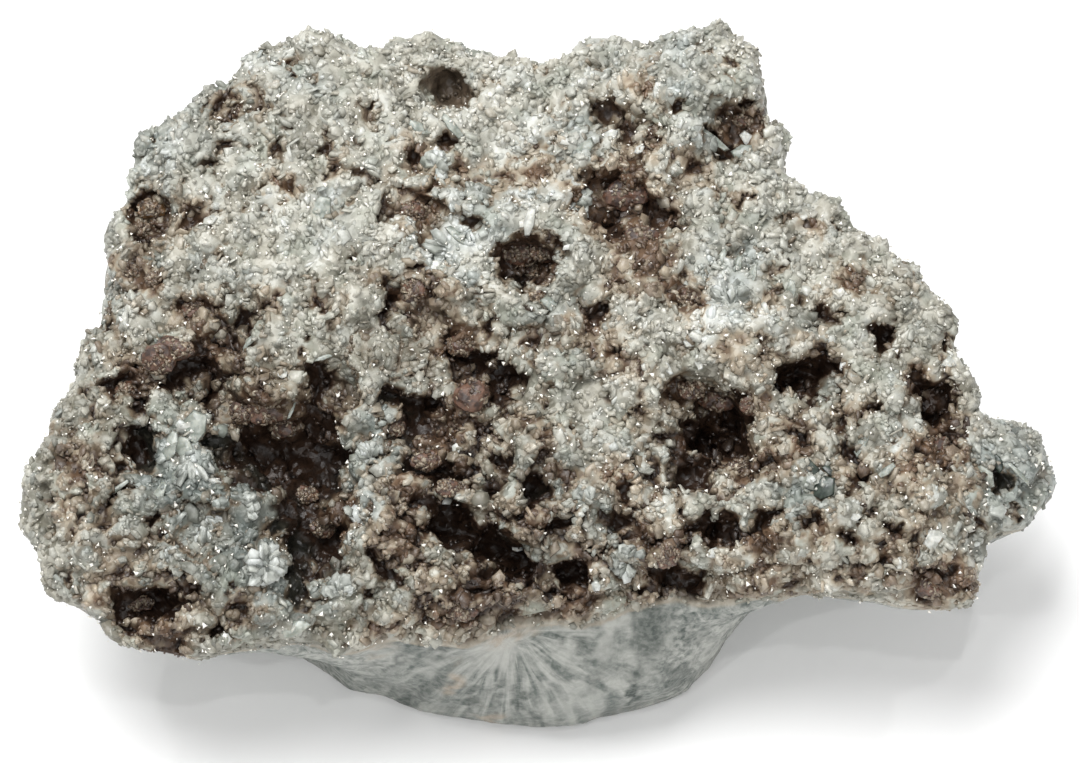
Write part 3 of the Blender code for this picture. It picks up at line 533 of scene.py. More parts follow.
for label, numbers in {"crust": crust, "cool": cool, "stain": stain, "deep": deep, "tone": bright}.items():
    keep_value(stone.data, label, numbers)
print("stained more than half:", round(float((stain[crust > 0.5] > 0.5).mean()), 2))
print("deep in pits:", round(float((deep[crust > 0.5] > 0.5).mean()), 2))

# %% [markdown]
# The dense underside shows a few soft marks of its own: dark green streaks that run down from two centres, pale
# bands between them, and faint tan patches. They are read from the photograph like the hollows.

# %% Marks on the dense body
DARK_MARKS = [
    (-5.8, -26.4, 1.6, 0.45, 75, 0.9), (-1.7, -26.7, 1.4, 0.4, -65, 0.8), (-0.2, -28.2, 1.1, 0.35, -60, 0.7),
    (-8.0, -22.1, 1.8, 0.4, 28, 0.9), (-10.4, -21.6, 1.6, 0.4, 10, 0.7), (-5.6, -20.9, 1.8, 0.3, 15, 0.7),
    (1.6, -21.6, 1.0, 0.3, 65, 0.6), (3.2, -21.8, 1.5, 0.35, -50, 0.7), (9.2, -20.8, 2.4, 1.5, 70, 0.8),
    (7.8, -26.4, 1.2, 0.45, 85, 1.2), (8.3, -24.2, 2.0, 0.6, 80, 0.6), (11.4, -24.8, 1.4, 0.9, 30, 0.6),
    (-11.4, -27.2, 1.4, 0.8, 35, 0.9), (-9.2, -25.6, 1.8, 0.7, 40, 0.7), (-3.6, -25.6, 1.4, 0.3, 80, 0.6),
    (4.6, -24.6, 1.6, 0.5, 70, 0.4), (13.0, -21.0, 1.2, 0.8, 0, 0.4), (-12.4, -23.4, 1.6, 0.4, 25, 0.7),
]
LIGHT_MARKS = [
    (-3.4, -22.4, 2.4, 1.4, 20, 0.9), (5.4, -21.8, 2.4, 0.6, 80, 0.9), (6.4, -20.4, 1.6, 0.6, 0, 0.4),
    (-2.6, -24.8, 2.2, 0.5, 85, 0.6), (0.6, -24.4, 2.0, 0.5, -60, 0.6), (14.0, -22.6, 2.0, 1.4, 60, 0.6),
    (2.6, -27.0, 2.0, 1.2, 10, 0.6), (-8.6, -23.6, 1.6, 0.4, 25, 0.6), (11.4, -22.4, 1.2, 0.5, 60, 0.4),
]
TAN_MARKS = [
    (-7.4, -25.2, 1.2, 0.6, 60, 0.8), (-3.8, -28.4, 0.9, 0.6, 60, 0.8), (-13.4, -22.2, 1.6, 0.5, 10, 0.5),
    (-2.5, -20.9, 2.6, 0.3, 14, 0.6), (5.0, -19.6, 2.4, 0.3, 10, 0.5), (2.0, -29.0, 0.8, 0.5, 0, 0.5),
]


def strokes(marks):
    """The strongest of soft oval marks at every point of the side that the viewer sees."""
    total = np.zeros(len(points))
    seen = smooth_step(-0.15, 0.0, normals @ SEEN[2])
    for right, up, half_length, half_width, turn, strength in marks:
        along, across = along_and_across(wavy_right - right, wavy_up - up, half_length, half_width, turn)
        total = np.maximum(total, strength * np.exp(-((along**2 + across**2) ** 2)) * seen)
    return total


for label, marks in {"dark_mark": DARK_MARKS, "light_mark": LIGHT_MARKS, "tan_mark": TAN_MARKS}.items():
    keep_value(stone.data, label, strokes(marks))
print("marks:", len(DARK_MARKS), "dark,", len(LIGHT_MARKS), "light and", len(TAN_MARKS), "tan")

# %% [markdown]
# In front the streaks of the body fan out straight down from one centre under the crust. Each point stores its turn
# about that centre and its distance from it, so that the material can draw lines that run outwards only.

# %% The fan in front
FAN_MIDDLE = (-2.4, -20.6)
FAN_REACH = 13.0
FAN_START = (0.06, 0.22)
FAN_END = (0.75, 1.15)

fan_right, fan_down = right_of - FAN_MIDDLE[0], FAN_MIDDLE[1] - above
fan_reach = np.hypot(fan_right, fan_down) / FAN_REACH
fan_share = smooth_step(*FAN_START, fan_reach) * (1.0 - smooth_step(*FAN_END, fan_reach))
fan_share *= smooth_step(-0.5, -0.1, normals @ SEEN[2])
fan_turn = np.arctan2(fan_right, fan_down) + 0.02 * rough(points, 5.0 * MM, 81.0)
for label, numbers in {"fan_turn": fan_turn, "fan_reach": fan_reach, "fan_share": fan_share}.items():
    keep_value(stone.data, label, numbers)
print("fan covers", round(float((fan_share > 0.5).mean()), 2), "of the points")

# %% [markdown]
# Materials here are built from nodes with a few short helpers. Colours are given as a screen shows them and turned
# into the linear values that the shader works in.

# %% Node helpers
NOISE_ROUGHNESS = 0.55


def linear(red, green, blue):
    """A colour as a screen shows it, 0 to 255, as the linear colour that a shader takes."""
    return tuple((level / 255) ** 2.2 for level in (red, green, blue)) + (1.0,)


class Sheet:
    """One material's node tree with short ways to add nodes and link them."""

    def __init__(self, name):
        self.material = bpy.data.materials.new(name)
        self.material.use_nodes = True
        self.tree = self.material.node_tree
        self.shader = self.tree.nodes["Principled BSDF"]

    def node(self, kind, **settings):
        made = self.tree.nodes.new(kind)
        for name, value in settings.items():
            setattr(made, name, value)
        return made

    def link(self, source, target):
        self.tree.links.new(source, target)

    def fill(self, socket, value):
        """A number or colour is set on a socket, and another node's socket is linked to it."""
        if isinstance(value, bpy.types.NodeSocket):
            self.link(value, socket)
        else:
            socket.default_value = value

    def shine(self, inputs):
        """Sets or links the shader's own inputs by name."""
        for name, value in inputs.items():
            self.fill(self.shader.inputs[name], value)

    def value(self, name):
        return self.node("ShaderNodeAttribute", attribute_name=name).outputs["Fac"]

    def place(self):
        return self.node("ShaderNodeTexCoord").outputs["Object"]

    def normal(self):
        return self.node("ShaderNodeNewGeometry").outputs["Normal"]

    def math(self, operation, first, second=0.0, clamp=False):
        made = self.node("ShaderNodeMath", operation=operation, use_clamp=clamp)
        self.fill(made.inputs[0], first)
        self.fill(made.inputs[1], second)
        return made.outputs[0]

    def vector(self, operation, first, second=None):
        """Vector arithmetic; the second value is a vector, or a plain number for SCALE."""
        made = self.node("ShaderNodeVectorMath", operation=operation)
        self.fill(made.inputs[0], first)
        if second is not None:
            self.fill(made.inputs["Scale" if operation == "SCALE" else 1], second)
        return made.outputs["Value" if operation == "LENGTH" else "Vector"]

    def spread(self, value, low, high, out_low=0.0, out_high=1.0):
        """Stretches low to high of a value over out_low to out_high."""
        made = self.node("ShaderNodeMapRange")
        made.interpolation_type = "SMOOTHSTEP"
        for socket, number in zip(made.inputs[:5], (value, low, high, out_low, out_high)):
            self.fill(socket, number)
        return made.outputs[0]

    def mix(self, share, first, second):
        made = self.node("ShaderNodeMix", data_type="RGBA")
        self.fill(made.inputs[0], share)
        self.fill(made.inputs[6], first)
        self.fill(made.inputs[7], second)
        return made.outputs[2]

    def texture(self, kind, place, inputs, output="Fac", **settings):
        """A texture node read at this place, with its inputs set by name."""
        made = self.node(kind, **settings)
        self.fill(made.inputs["Vector"], place)
        for name, value in inputs.items():
            self.fill(made.inputs[name], value)
        return made.outputs[output]

    def noise(self, size, detail=3.0, stretch=None, warp=0.0):
        """Noise with patches of about this size in metres."""
        place = self.place()
        if stretch is not None:
            mapping = self.node("ShaderNodeMapping")
            mapping.inputs["Scale"].default_value = stretch
            self.link(place, mapping.inputs["Vector"])
            place = mapping.outputs["Vector"]
        inputs = {"Scale": 1.0 / size, "Detail": detail, "Roughness": NOISE_ROUGHNESS, "Distortion": warp}
        return self.texture("ShaderNodeTexNoise", place, inputs)

    def cell_colour(self, size):
        """A colour by chance for each cell of about this size in metres."""
        return self.texture("ShaderNodeTexVoronoi", self.place(), {"Scale": 1.0 / size}, "Color")

    def facets(self, size, tilt):
        """Directions that jump from cell to cell, as on a mass of small crystals with flat faces."""
        centred = self.vector("SUBTRACT", self.cell_colour(size), (0.5, 0.5, 0.5))
        return self.vector("NORMALIZE", self.vector("ADD", self.normal(), self.vector("SCALE", centred, tilt)))

    def bump(self, height, distance, strength, under):
        """The directions under, roughened by a height."""
        made = self.node("ShaderNodeBump")
        for name, value in {"Distance": distance, "Strength": strength, "Height": height, "Normal": under}.items():
            self.fill(made.inputs[name], value)
        return made.outputs["Normal"]


# %% [markdown]
# Where the crystals are dense, chlorite grows as feathers: fine fibres that fan out from many centres, pale where
# they catch the light along their length and dark green-grey where they turn away. That sheen is painted into the
# colour here, together with the fibres' own streaks. Cell noise gives the centres, and noise that depends on the
# direction from a centre, and only slowly on the distance, gives the fibres.

# %% Feather pattern of the dense body
FEATHER_SIZE = 9.0 * MM
STREAK_CHANGE = 2.4


def feathers(sheet, size, fibres, seed):
    """Streaks from 0 to 1 that fan out from the centres of cells of this size."""
    place = sheet.place()
    wander = sheet.texture("ShaderNodeTexNoise", place, {"Scale": 1.0 / (0.4 * size), "Detail": 2.0}, "Color")
    bent = sheet.vector("ADD", place, sheet.vector("SCALE", wander, 0.26 * size))
    moved = sheet.vector("ADD", bent, (seed * size, 0.4 * seed * size, 0.0))
    centre = sheet.texture("ShaderNodeTexVoronoi", moved, {"Scale": 1.0 / size}, "Position")
    arm = sheet.vector("SUBTRACT", moved, centre)
    far = sheet.math("MULTIPLY", sheet.vector("LENGTH", arm), STREAK_CHANGE / size / fibres)
    inputs = {"Scale": fibres, "Detail": 3.0, "Roughness": 0.6, "W": far}
    return sheet.texture("ShaderNodeTexNoise", sheet.vector("NORMALIZE", arm), inputs, noise_dimensions="4D")


# %% [markdown]
# Stone and crystals share one set of crust colours. The tone runs from greenish grey to pearly white, a weak stain
# turns it tan and a strong one brown, and painted shade makes deep places nearly black: brown-black, and green-black
# where the crust is cool. Small clouds of noise keep every bunch a little different from the next.

# %% Colours of the crust


def crust_colour(sheet, tone):
    """The colour of the crust at a tone from 0 to 1."""

    def two_tone(dark, light):
        return sheet.mix(tone, linear(*dark), linear(*light))

    def clean_crust(dark, middle, light):
        lower = sheet.mix(sheet.spread(tone, 0.0, 0.6), linear(*dark), linear(*middle))
        return sheet.mix(sheet.spread(tone, 0.5, 1.0), lower, linear(*light))

    cool, stain, deep = (sheet.value(name) for name in ("cool", "stain", "deep"))
    warm = clean_crust((116, 113, 101), (173, 170, 158), (201, 200, 191))
    bluish = clean_crust((98, 104, 100), (160, 165, 160), (199, 204, 203))
    green = sheet.spread(sheet.noise(3.5 * MM), 0.50, 0.70, 0.0, 0.45)
    clean = sheet.mix(green, sheet.mix(cool, warm, bluish), linear(146, 152, 140))
    tan = two_tone((108, 96, 80), (182, 170, 150))
    brown = two_tone((60, 46, 36), (122, 98, 77))
    stained = sheet.mix(sheet.spread(stain, 0.10, 0.60), clean, tan)
    stained = sheet.mix(sheet.spread(stain, 0.50, 1.0), stained, brown)
    # Painted shade for pits and creases: dark brown, turning dark green where the crust is cool.
    deep_brown = two_tone((42, 32, 26), (90, 69, 54))
    deep_green = two_tone((34, 38, 34), (80, 85, 76))
    deepest = sheet.mix(sheet.spread(cool, 0.5, 1.0, 0.0, 0.7), deep_brown, deep_green)
    return sheet.mix(sheet.spread(deep, 0.1, 0.95), stained, deepest)


# %% [markdown]
# The dense body is matt, cool and feathery. Two sizes of feathers and the fan in front give its streaks, partly a
# painted sheen, clouds of noise shift its colour, and the marks read from the photograph lie over them. Where the
# body meets the crust it is a little tan.

# %% Colour of the dense body
SMALL_FEATHERS = 0.4 * FEATHER_SIZE
FAN_LINES = 8.0
FAN_CHANGE = 4.0
FAN_STRENGTH = 0.75

s = Sheet("stone_chlorite")
fans = s.spread(feathers(s, FEATHER_SIZE, 6.0, 0.0), 0.38, 0.62)
small_fans = s.spread(feathers(s, SMALL_FEATHERS, 4.0, 3.0), 0.36, 0.64)
all_over = s.math("ADD", s.math("MULTIPLY", fans, 0.60), s.math("MULTIPLY", small_fans, 0.40))
fan_place = s.node("ShaderNodeCombineXYZ")
s.fill(fan_place.inputs["X"], s.math("MULTIPLY", s.value("fan_turn"), FAN_LINES))
s.fill(fan_place.inputs["Y"], s.math("MULTIPLY", s.value("fan_reach"), FAN_CHANGE))
fan_inputs = {"Scale": 1.0, "Detail": 5.0, "Distortion": 0.6}
front_fan = s.spread(s.texture("ShaderNodeTexNoise", fan_place.outputs[0], fan_inputs), 0.32, 0.68)
in_fan = s.math("MULTIPLY", s.value("fan_share"), FAN_STRENGTH)
out_of_fan = s.math("MULTIPLY", all_over, s.math("SUBTRACT", 1.0, in_fan))
streak_and_sheen = s.math("ADD", out_of_fan, s.math("MULTIPLY", front_fan, in_fan))

# The streaks are partly the fibres' own colour and partly their painted sheen: pale where fibres would catch the
# light, dark where they turn away.
body_colour = s.mix(streak_and_sheen, linear(68, 76, 72), linear(160, 161, 155))
layers = [
    # darker, paler and tan clouds
    (s.spread(s.noise(7 * MM, 4.0), 0.52, 0.72, 0.0, 0.35), (98, 106, 101)),
    (s.spread(s.noise(5 * MM, 4.0, warp=0.6), 0.56, 0.72, 0.0, 0.35), (168, 168, 162)),
    (s.spread(s.noise(6 * MM, stretch=(1.0, 1.0, 1.6)), 0.62, 0.76, 0.0, 0.3), (158, 144, 128)),
    # the marks read from the photograph
    (s.math("MULTIPLY", s.value("light_mark"), 0.7), (172, 172, 166)),
    (s.math("MULTIPLY", s.value("tan_mark"), 0.7), (166, 148, 128)),
    (s.math("MULTIPLY", s.value("dark_mark"), 0.95), (52, 60, 56)),
    # the tan edge under the crust, and fine pale specks all over
    (s.spread(s.value("crust"), 0.02, 0.3, 0.0, 0.6), (160, 144, 124)),
    (s.spread(s.noise(0.45 * MM, 2.0), 0.40, 0.62, 0.0, 0.16), (178, 179, 173)),
]
for share, colour in layers:
    body_colour = s.mix(share, body_colour, linear(*colour))
print("dense body:", len(s.tree.nodes), "nodes")

# %% [markdown]
# The stone's material mixes its two grounds by the value that was stored on each point. The crust between the
# flakes is a mass of small grains, so its direction jumps from cell to cell; the body keeps its smooth direction.
# Both are roughened by the same fine bump.

# %% Material of the stone
GRAIN = 0.5 * MM

cell_tone = s.node("ShaderNodeSeparateColor")
s.fill(cell_tone.inputs[0], s.cell_colour(GRAIN))
grain_tone = s.math("ADD", s.value("tone"), s.spread(cell_tone.outputs[0], 0.0, 1.0, -0.14, 0.16), clamp=True)
grain_tone = s.math("ADD", grain_tone, s.spread(s.noise(0.9 * MM), 0.3, 0.7, -0.12, 0.12), clamp=True)
directions = s.node("ShaderNodeMix", data_type="VECTOR")
s.fill(directions.inputs[0], s.value("crust"))
s.fill(directions.inputs[4], s.normal())
s.fill(directions.inputs[5], s.facets(GRAIN, 0.75))
s.shine({
    "Base Color": s.mix(s.value("crust"), body_colour, crust_colour(s, grain_tone)),
    "Roughness": s.spread(s.value("crust"), 0.3, 0.8, 0.60, 0.36),
    "Specular IOR Level": 0.35,
    "Normal": s.bump(s.noise(0.21 * MM, 2.0), 0.04 * MM, 0.8, directions.outputs[1]),
})
stone.data.materials.clear()
stone.data.materials.append(s.material)
for face in stone.data.polygons:
    face.use_smooth = True
print("stone material:", len(s.tree.nodes), "nodes")

# %% [markdown]
# Chlorite's crystals are thin plates with five or six sides, and thousands of them make the crust with rounder
# grains between. Each shape is made once with bmesh, from a cone or a ball, and read out as a table of corners and
# a table of triangles.

# %% Shapes of the crystals
PLATE_SIDES = 5
PLATE_TAPER = 0.85


def shape_tables(shape):
    """Corner places and triangles of a small bmesh shape, which is used up."""
    bmesh.ops.triangulate(shape, faces=shape.faces[:])
    bmesh.ops.recalc_face_normals(shape, faces=shape.faces[:])
    places = np.array([corner.co for corner in shape.verts])
    faces = np.array([[corner.index for corner in face.verts] for face in shape.faces])
    shape.free()
    return places, faces


def plate_shape(sides, taper):
    """A flat prism with its corners, the side that each corner belongs to, and its triangles."""
    shape = bmesh.new()
    bmesh.ops.create_cone(shape, cap_ends=True, segments=sides, radius1=1.0, radius2=taper, depth=1.0)
    places, faces = shape_tables(shape)
    turns = np.arctan2(places[:, 1], places[:, 0]) / (2 * math.pi) * sides
    side_of = np.round(turns - turns[0]).astype(int) % sides
    return places, side_of, faces


def grain_shape():
    """A round grain of twenty faces."""
    shape = bmesh.new()
    bmesh.ops.create_icosphere(shape, subdivisions=1, radius=1.0)
    places, faces = shape_tables(shape)
    return places, np.arange(len(places)), faces


def glint_shape():
    """A thin double pyramid of six faces, the cheapest closed flake."""
    shape = bmesh.new()
    bmesh.ops.create_cone(shape, cap_ends=False, segments=3, radius1=1.0, radius2=0.0, depth=1.0)
    base = [corner for corner in shape.verts if corner.co.z < 0]
    base.sort(key=lambda corner: math.atan2(corner.co.y, corner.co.x))
    tip = shape.verts.new((0.0, 0.0, -1.5))
    for k in range(3):
        shape.faces.new((base[k], base[(k + 1) % 3], tip))
    bmesh.ops.remove_doubles(shape, verts=shape.verts[:], dist=SAME_SPOT)
    shape.verts.index_update()
    places, faces = shape_tables(shape)
    return places, np.arange(len(places)), faces


crystal_shapes = {"plate": plate_shape(PLATE_SIDES, PLATE_TAPER), "grain": grain_shape(), "glint": glint_shape()}
for label, (corners, _, faces) in crystal_shapes.items():
    print("a", label, "has", len(corners), "corners and", len(faces), "triangles")

# %% [markdown]
# Thousands of separate objects would be slow to make and heavy to keep, and a particle system is lost on export.
# So the copies of a shape are worked out in tables of numbers, with every copy's corners pulled in and out by
# chance, and joined into one mesh. Each copy stores its own values, such as its tone, for the material.

# %% Many joined copies of one shape


def joined_copies(name, pattern, places, frames, sizes, corner_reach, values, material):
    """One mesh of many copies: frames holds each copy's three axes as rows, sizes its size along each."""
    corners, side_of, faces = pattern
    local = corners[None] * sizes[:, None, :]
    local[:, :, :2] *= corner_reach[:, side_of, None]
    world = places[:, None, :] + np.einsum("nvk,nkj->nvj", local, frames)
    count = len(places)
    copies = (faces[None] + (np.arange(count) * len(corners))[:, None, None]).reshape(-1, 3)
    mesh = bpy.data.meshes.new(name)
    mesh.vertices.add(count * len(corners))
    mesh.vertices.foreach_set("co", world.astype(np.float32).ravel())
    mesh.loops.add(copies.size)
    mesh.loops.foreach_set("vertex_index", copies.astype(np.int32).ravel())
    mesh.polygons.add(len(copies))
    mesh.polygons.foreach_set("loop_start", np.arange(0, copies.size, 3, dtype=np.int32))
    mesh.update(calc_edges=True)
    for label, numbers in values.items():
        keep_value(mesh, label, np.repeat(numbers, len(corners)))
    mesh.materials.append(material)
    print(name + ":", count, "copies,", len(copies), "triangles")
    return add_object(name, mesh)


# %% [markdown]
# Crystals are scattered over the crust by chance, more of them where a triangle is larger and fewer in closed
# places. Each one knows the stone's direction out, and the stain, painted shade and tone of the spot it grows on.

# %% Places for crystals on the crust
MOSTLY_CRUST = 0.35


class Spots:
    """Seeded places on the crust, each with the stone's direction out and the values stored there."""

    def __init__(self, count, seed, in_hollows=1.0):
        chance = np.random.default_rng(seed)
        a, b, c = (points[triangles[:, k]] for k in range(3))
        area = 0.5 * np.linalg.norm(np.cross(b - a, c - a), axis=1)
        on_crust, open_here, in_hollow, on_rim = (
            values[triangles].mean(axis=1) for values in (crust, openness, hollow, rim))
        wanted = area * (on_crust > MOSTLY_CRUST) * (0.25 + 0.75 * smooth_step(0.1, 0.6, open_here))
        wanted *= 1.0 - (1.0 - in_hollows) * in_hollow
        wanted *= 1.0 - 0.5 * on_rim
        picked = chance.choice(len(triangles), size=count, p=wanted / wanted.sum())
        share = chance.random((count, 2))
        share = np.where(share.sum(axis=1, keepdims=True) > 1, 1 - share, share)
        weights = np.column_stack((1 - share.sum(axis=1), share))
        corners = triangles[picked]
        self.chance = chance
        self.count = count
        self.places = (points[corners] * weights[:, :, None]).sum(axis=1)
        self.out = unit((normals[corners] * weights[:, :, None]).sum(axis=1))
        self.stain, self.deep, self.bright, self.cool = (
            (values[corners] * weights).sum(axis=1) for values in (stain, deep, bright, cool))
        self.rim = 1.0 - smooth_step(0.30, 0.75, self.out @ FACE[2])

    def some(self, wanted):
        """The same spots, fewer of them."""
        part = object.__new__(Spots)
        part.chance, part.count = self.chance, int(wanted.sum())
        for name in ("places", "out", "stain", "deep", "bright", "cool", "rim"):
            setattr(part, name, getattr(self, name)[wanted])
        return part

    def values(self, spread, lift=0.0):
        """What the material reads for each crystal: tone, stain, painted shade and blueness, each a little by
        chance.
        """
        tone = self.bright + lift + spread * self.chance.normal(size=self.count)
        stain_here = self.stain + 0.10 * self.chance.normal(size=self.count)
        deep_here = self.deep * self.chance.uniform(0.75, 1.0, self.count)
        cool_here = self.cool + 0.15 * self.chance.normal(size=self.count)
        here = {"tone": tone, "stain": stain_here, "deep": deep_here, "cool": cool_here}
        return {name: np.clip(numbers, 0, 1) for name, numbers in here.items()}


def standing_frames(spots, lean_out, scatter, flat_share):
    """Axes of plates that stand on edge and lean out of their bunches, apart from a share that lies flat."""
    chance = spots.chance
    _, _, middles = cells(spots.places, BUNCH_SIZE)
    out_of_bunch = unit(spots.places - middles + spots.out * 0.6 * BUNCH_SIZE)
    along = unit(out_of_bunch * lean_out + spots.out * 0.3 + scatter * chance.normal(size=(spots.count, 3)))
    facing = unit(np.cross(along, chance.normal(size=(spots.count, 3))))
    flat = chance.random(spots.count) < np.maximum(flat_share, spots.rim)
    lying = unit(spots.out + 0.35 * chance.normal(size=(spots.count, 3)))
    facing = np.where(flat[:, None], lying, facing)
    along = unit(along - facing * (along * facing).sum(axis=1, keepdims=True))
    return np.stack((along, np.cross(facing, along), facing), axis=1)


def left_to_right(spots, names, grow):
    """Splits the spots into as many strips as there are names, and grows one mesh on each."""
    order = np.argsort(np.argsort(spots.places[:, 0]))
    strip = order * len(names) // spots.count
    return [grow(name, spots.some(strip == k)) for k, name in enumerate(names)]


# %% [markdown]
# All crystals share one material. Chlorite shines like pearl on its flat faces and lets a little light through, so
# the surface is fairly smooth with a thin coat, and light spreads under it for a fraction of a millimetre.

# %% Material of the crystals
CHLORITE_IOR = 1.58

s = Sheet("crystal_chlorite")
tone = s.value("tone")
mottled = s.math("ADD", tone, s.spread(s.noise(0.6 * MM, 2.0), 0.3, 0.7, -0.14, 0.14), clamp=True)
s.shine({
    "Base Color": crust_colour(s, mottled),
    "Roughness": s.spread(tone, 0.2, 1.0, 0.50, 0.24),
    "Specular IOR Level": 0.5,
    "IOR": CHLORITE_IOR,
    "Coat Weight": 0.2,
    "Coat Roughness": 0.15,
    "Subsurface Weight": 0.20,
    "Subsurface Radius": (1.0, 0.95, 0.85),
    "Subsurface Scale": 0.4 * MM,
    "Normal": s.bump(s.noise(0.15 * MM, 2.0), 0.03 * MM, 0.6, s.facets(0.5 * MM, 0.45)),
})
crystal = s.material
print("crystal material:", len(s.tree.nodes), "nodes")

# %% [markdown]
# A few crystals have a colour of their own: pearly white and grey plates, dark green ones that are less weathered,
# and amber or umber brown lumps where iron got in. The tiny flakes that flash in the light are painted near white,
# a painted highlight on top of what the small lamps give them. Their materials differ from the others only in
# colour and gloss.

# %% Materials of the odd crystals


def plain_crystal(name, dark, light, roughness, scatter):
    """A slightly translucent crystal whose colour wanders between two tones."""
    sheet = Sheet(name)
    wander = sheet.spread(sheet.noise(0.7 * MM), 0.35, 0.65)
    sheet.shine({
        "Base Color": sheet.mix(wander, linear(*dark), linear(*light)),
        "Roughness": roughness,
        "IOR": CHLORITE_IOR,
        "Coat Weight": 0.15,
        "Coat Roughness": 0.1,
        "Subsurface Weight": scatter,
        "Subsurface Radius": (1.0, 0.8, 0.6),
        "Subsurface Scale": 0.6 * MM,
        "Normal": sheet.bump(sheet.noise(0.2 * MM, 2.0), 0.03 * MM, 0.6, sheet.facets(0.6 * MM, 0.35)),
    })
    return sheet.material


# The flakes that glint get a near white colour, a painted highlight; the other five colours are the crystals' own.
painted_sparkle = plain_crystal("painted_sparkle", (250, 246, 234), (255, 252, 244), 0.20, 0.0)
pearl = plain_crystal("pearl_flake", (160, 161, 154), (212, 212, 205), 0.40, 0.2)
green = plain_crystal("green_prism", (28, 37, 32), (60, 70, 62), 0.34, 0.1)
amber = plain_crystal("amber_skin", (50, 37, 24), (98, 73, 46), 0.34, 0.2)
umber = plain_crystal("umber_knob", (50, 34, 26), (98, 70, 54), 0.55, 0.2)
ash = plain_crystal("grey_plate", (116, 122, 114), (160, 164, 156), 0.34, 0.3)
print("materials:", [material.name for material in bpy.data.materials])

# %% [markdown]
# Three kinds of crystal make the froth: rounded grains sit half sunk in it, plates lean out of the middle of their
# own bunch, so that bunches look like little open rosettes, and on top lie a few thousand tiny flakes that catch
# the light, their near white colour a painted highlight. Their sizes vary by chance round a usual size, as those
# of real crystals do.

# %% Grains, plates and glints
GRAIN_SIZE = 0.30
BRINK_SIZE = 0.46
PLATE_LENGTH = 0.46
GLINT_SIZE = 0.15
GLINT_LIFT = 0.30 * MM


def grow_grains(name, spots, usual=GRAIN_SIZE):
    """Uneven round grains, half sunk in the crust."""
    chance = spots.chance
    frames = standing_frames(spots, 0.5, 0.6, 0.0)
    size = np.clip(chance.lognormal(math.log(usual), 0.35, spots.count), 0.5 * usual, 2.0 * usual) * MM
    size *= 1.0 - 0.3 * spots.rim
    sizes = size[:, None] * chance.uniform(0.35, 1.15, (spots.count, 3))
    pattern = grain_shape()
    corner_reach = chance.uniform(0.6, 1.25, (spots.count, len(pattern[0])))
    places = spots.places - spots.out * (0.35 * size)[:, None]
    return joined_copies(name, pattern, places, frames, sizes, corner_reach, spots.values(0.10), crystal)


def grow_plates(name, spots):
    """Plates that lean out of their bunches."""
    chance = spots.chance
    frames = standing_frames(spots, 0.9, 0.40, 0.55)
    length = np.clip(chance.lognormal(math.log(PLATE_LENGTH), 0.34, spots.count), 0.2, 1.05) * MM
    length *= 1.0 - 0.35 * spots.rim
    sizes = np.column_stack((length, length * chance.uniform(0.45, 0.85, spots.count),
                             chance.uniform(0.14, 0.34, spots.count) * MM))
    places = spots.places + frames[:, 0] * (length * (0.05 - 0.15 * spots.rim))[:, None]
    corner_reach = chance.uniform(0.7, 1.15, (spots.count, PLATE_SIDES))
    return joined_copies(name, plate_shape(PLATE_SIDES, PLATE_TAPER), places, frames, sizes, corner_reach,
                         spots.values(0.12, 0.03), crystal)


def tilted_frames(chance, outs, tilt):
    """Axes of flakes that face outwards, apart from a tilt and a turn by chance."""
    facing = unit(outs + tilt * chance.normal(size=outs.shape))
    side = unit(np.cross(facing, chance.normal(size=outs.shape)))
    return np.stack((side, np.cross(facing, side), facing), axis=1)


def grow_glints(name, spots):
    """Tiny flakes that lie on the other crystals, with a near white colour that is a painted highlight."""
    chance = spots.chance
    frames = tilted_frames(chance, spots.out, 0.7)
    size = np.clip(chance.lognormal(math.log(GLINT_SIZE), 0.40, spots.count), 0.07, 0.34) * MM
    sizes = np.column_stack((size, size * chance.uniform(0.6, 1.0, spots.count), size * 0.3))
    pattern = glint_shape()
    corner_reach = chance.uniform(0.8, 1.2, (spots.count, len(pattern[0])))
    places = spots.places + spots.out * GLINT_LIFT
    return joined_copies(name, pattern, places, frames, sizes, corner_reach, {}, painted_sparkle)


# %% [markdown]
# Now they are grown. The grains and the plates are split into meshes from left to right, so that no mesh grows too
# heavy. Larger grains crowd the brinks of the pits, so that no pit keeps a smooth edge, and stained places and
# places of painted shade get fewer of the flakes with a painted highlight.

# %% Growing the crust
GRAIN_COUNT = 8000
PLATE_COUNT = 13000
GLINT_COUNT = 3600
BRINK_COUNT = 5000
THIRDS = ("_left", "_middle", "_right")

grains = left_to_right(Spots(GRAIN_COUNT, 202, 0.9), ["grains" + third for third in THIRDS], grow_grains)
plates = left_to_right(Spots(PLATE_COUNT, 101, 0.2), ["plates" + third for third in THIRDS], grow_plates)

brink_spots = Spots(BRINK_COUNT, 707)
on_brink = (brink_spots.deep > 0.10) & (brink_spots.deep < 0.60) & (brink_spots.out @ SEEN[2] > 0.25)
brink_spots = brink_spots.some(on_brink)
brink_spots.deep = 0.3 * brink_spots.deep
brink_spots.stain = 0.6 * brink_spots.stain
grains.append(grow_grains("brink_grains", brink_spots, BRINK_SIZE))

glint_spots = Spots(GLINT_COUNT, 303, 0.5)
dull = 0.9 * glint_spots.deep + 0.5 * smooth_step(0.4, 0.9, glint_spots.stain)
glints = grow_glints("glints", glint_spots.some(glint_spots.chance.random(GLINT_COUNT) > dull))

# %% [markdown]
# Some crystals are large enough to be known one by one, and they are placed where the photograph shows them. A ray
# from the camera finds the stone under each. Rosettes are rings or fans of thin blades round a centre: each row
# holds the centre as seen, the radius, the number of blades, the first and last turn, and the tone.

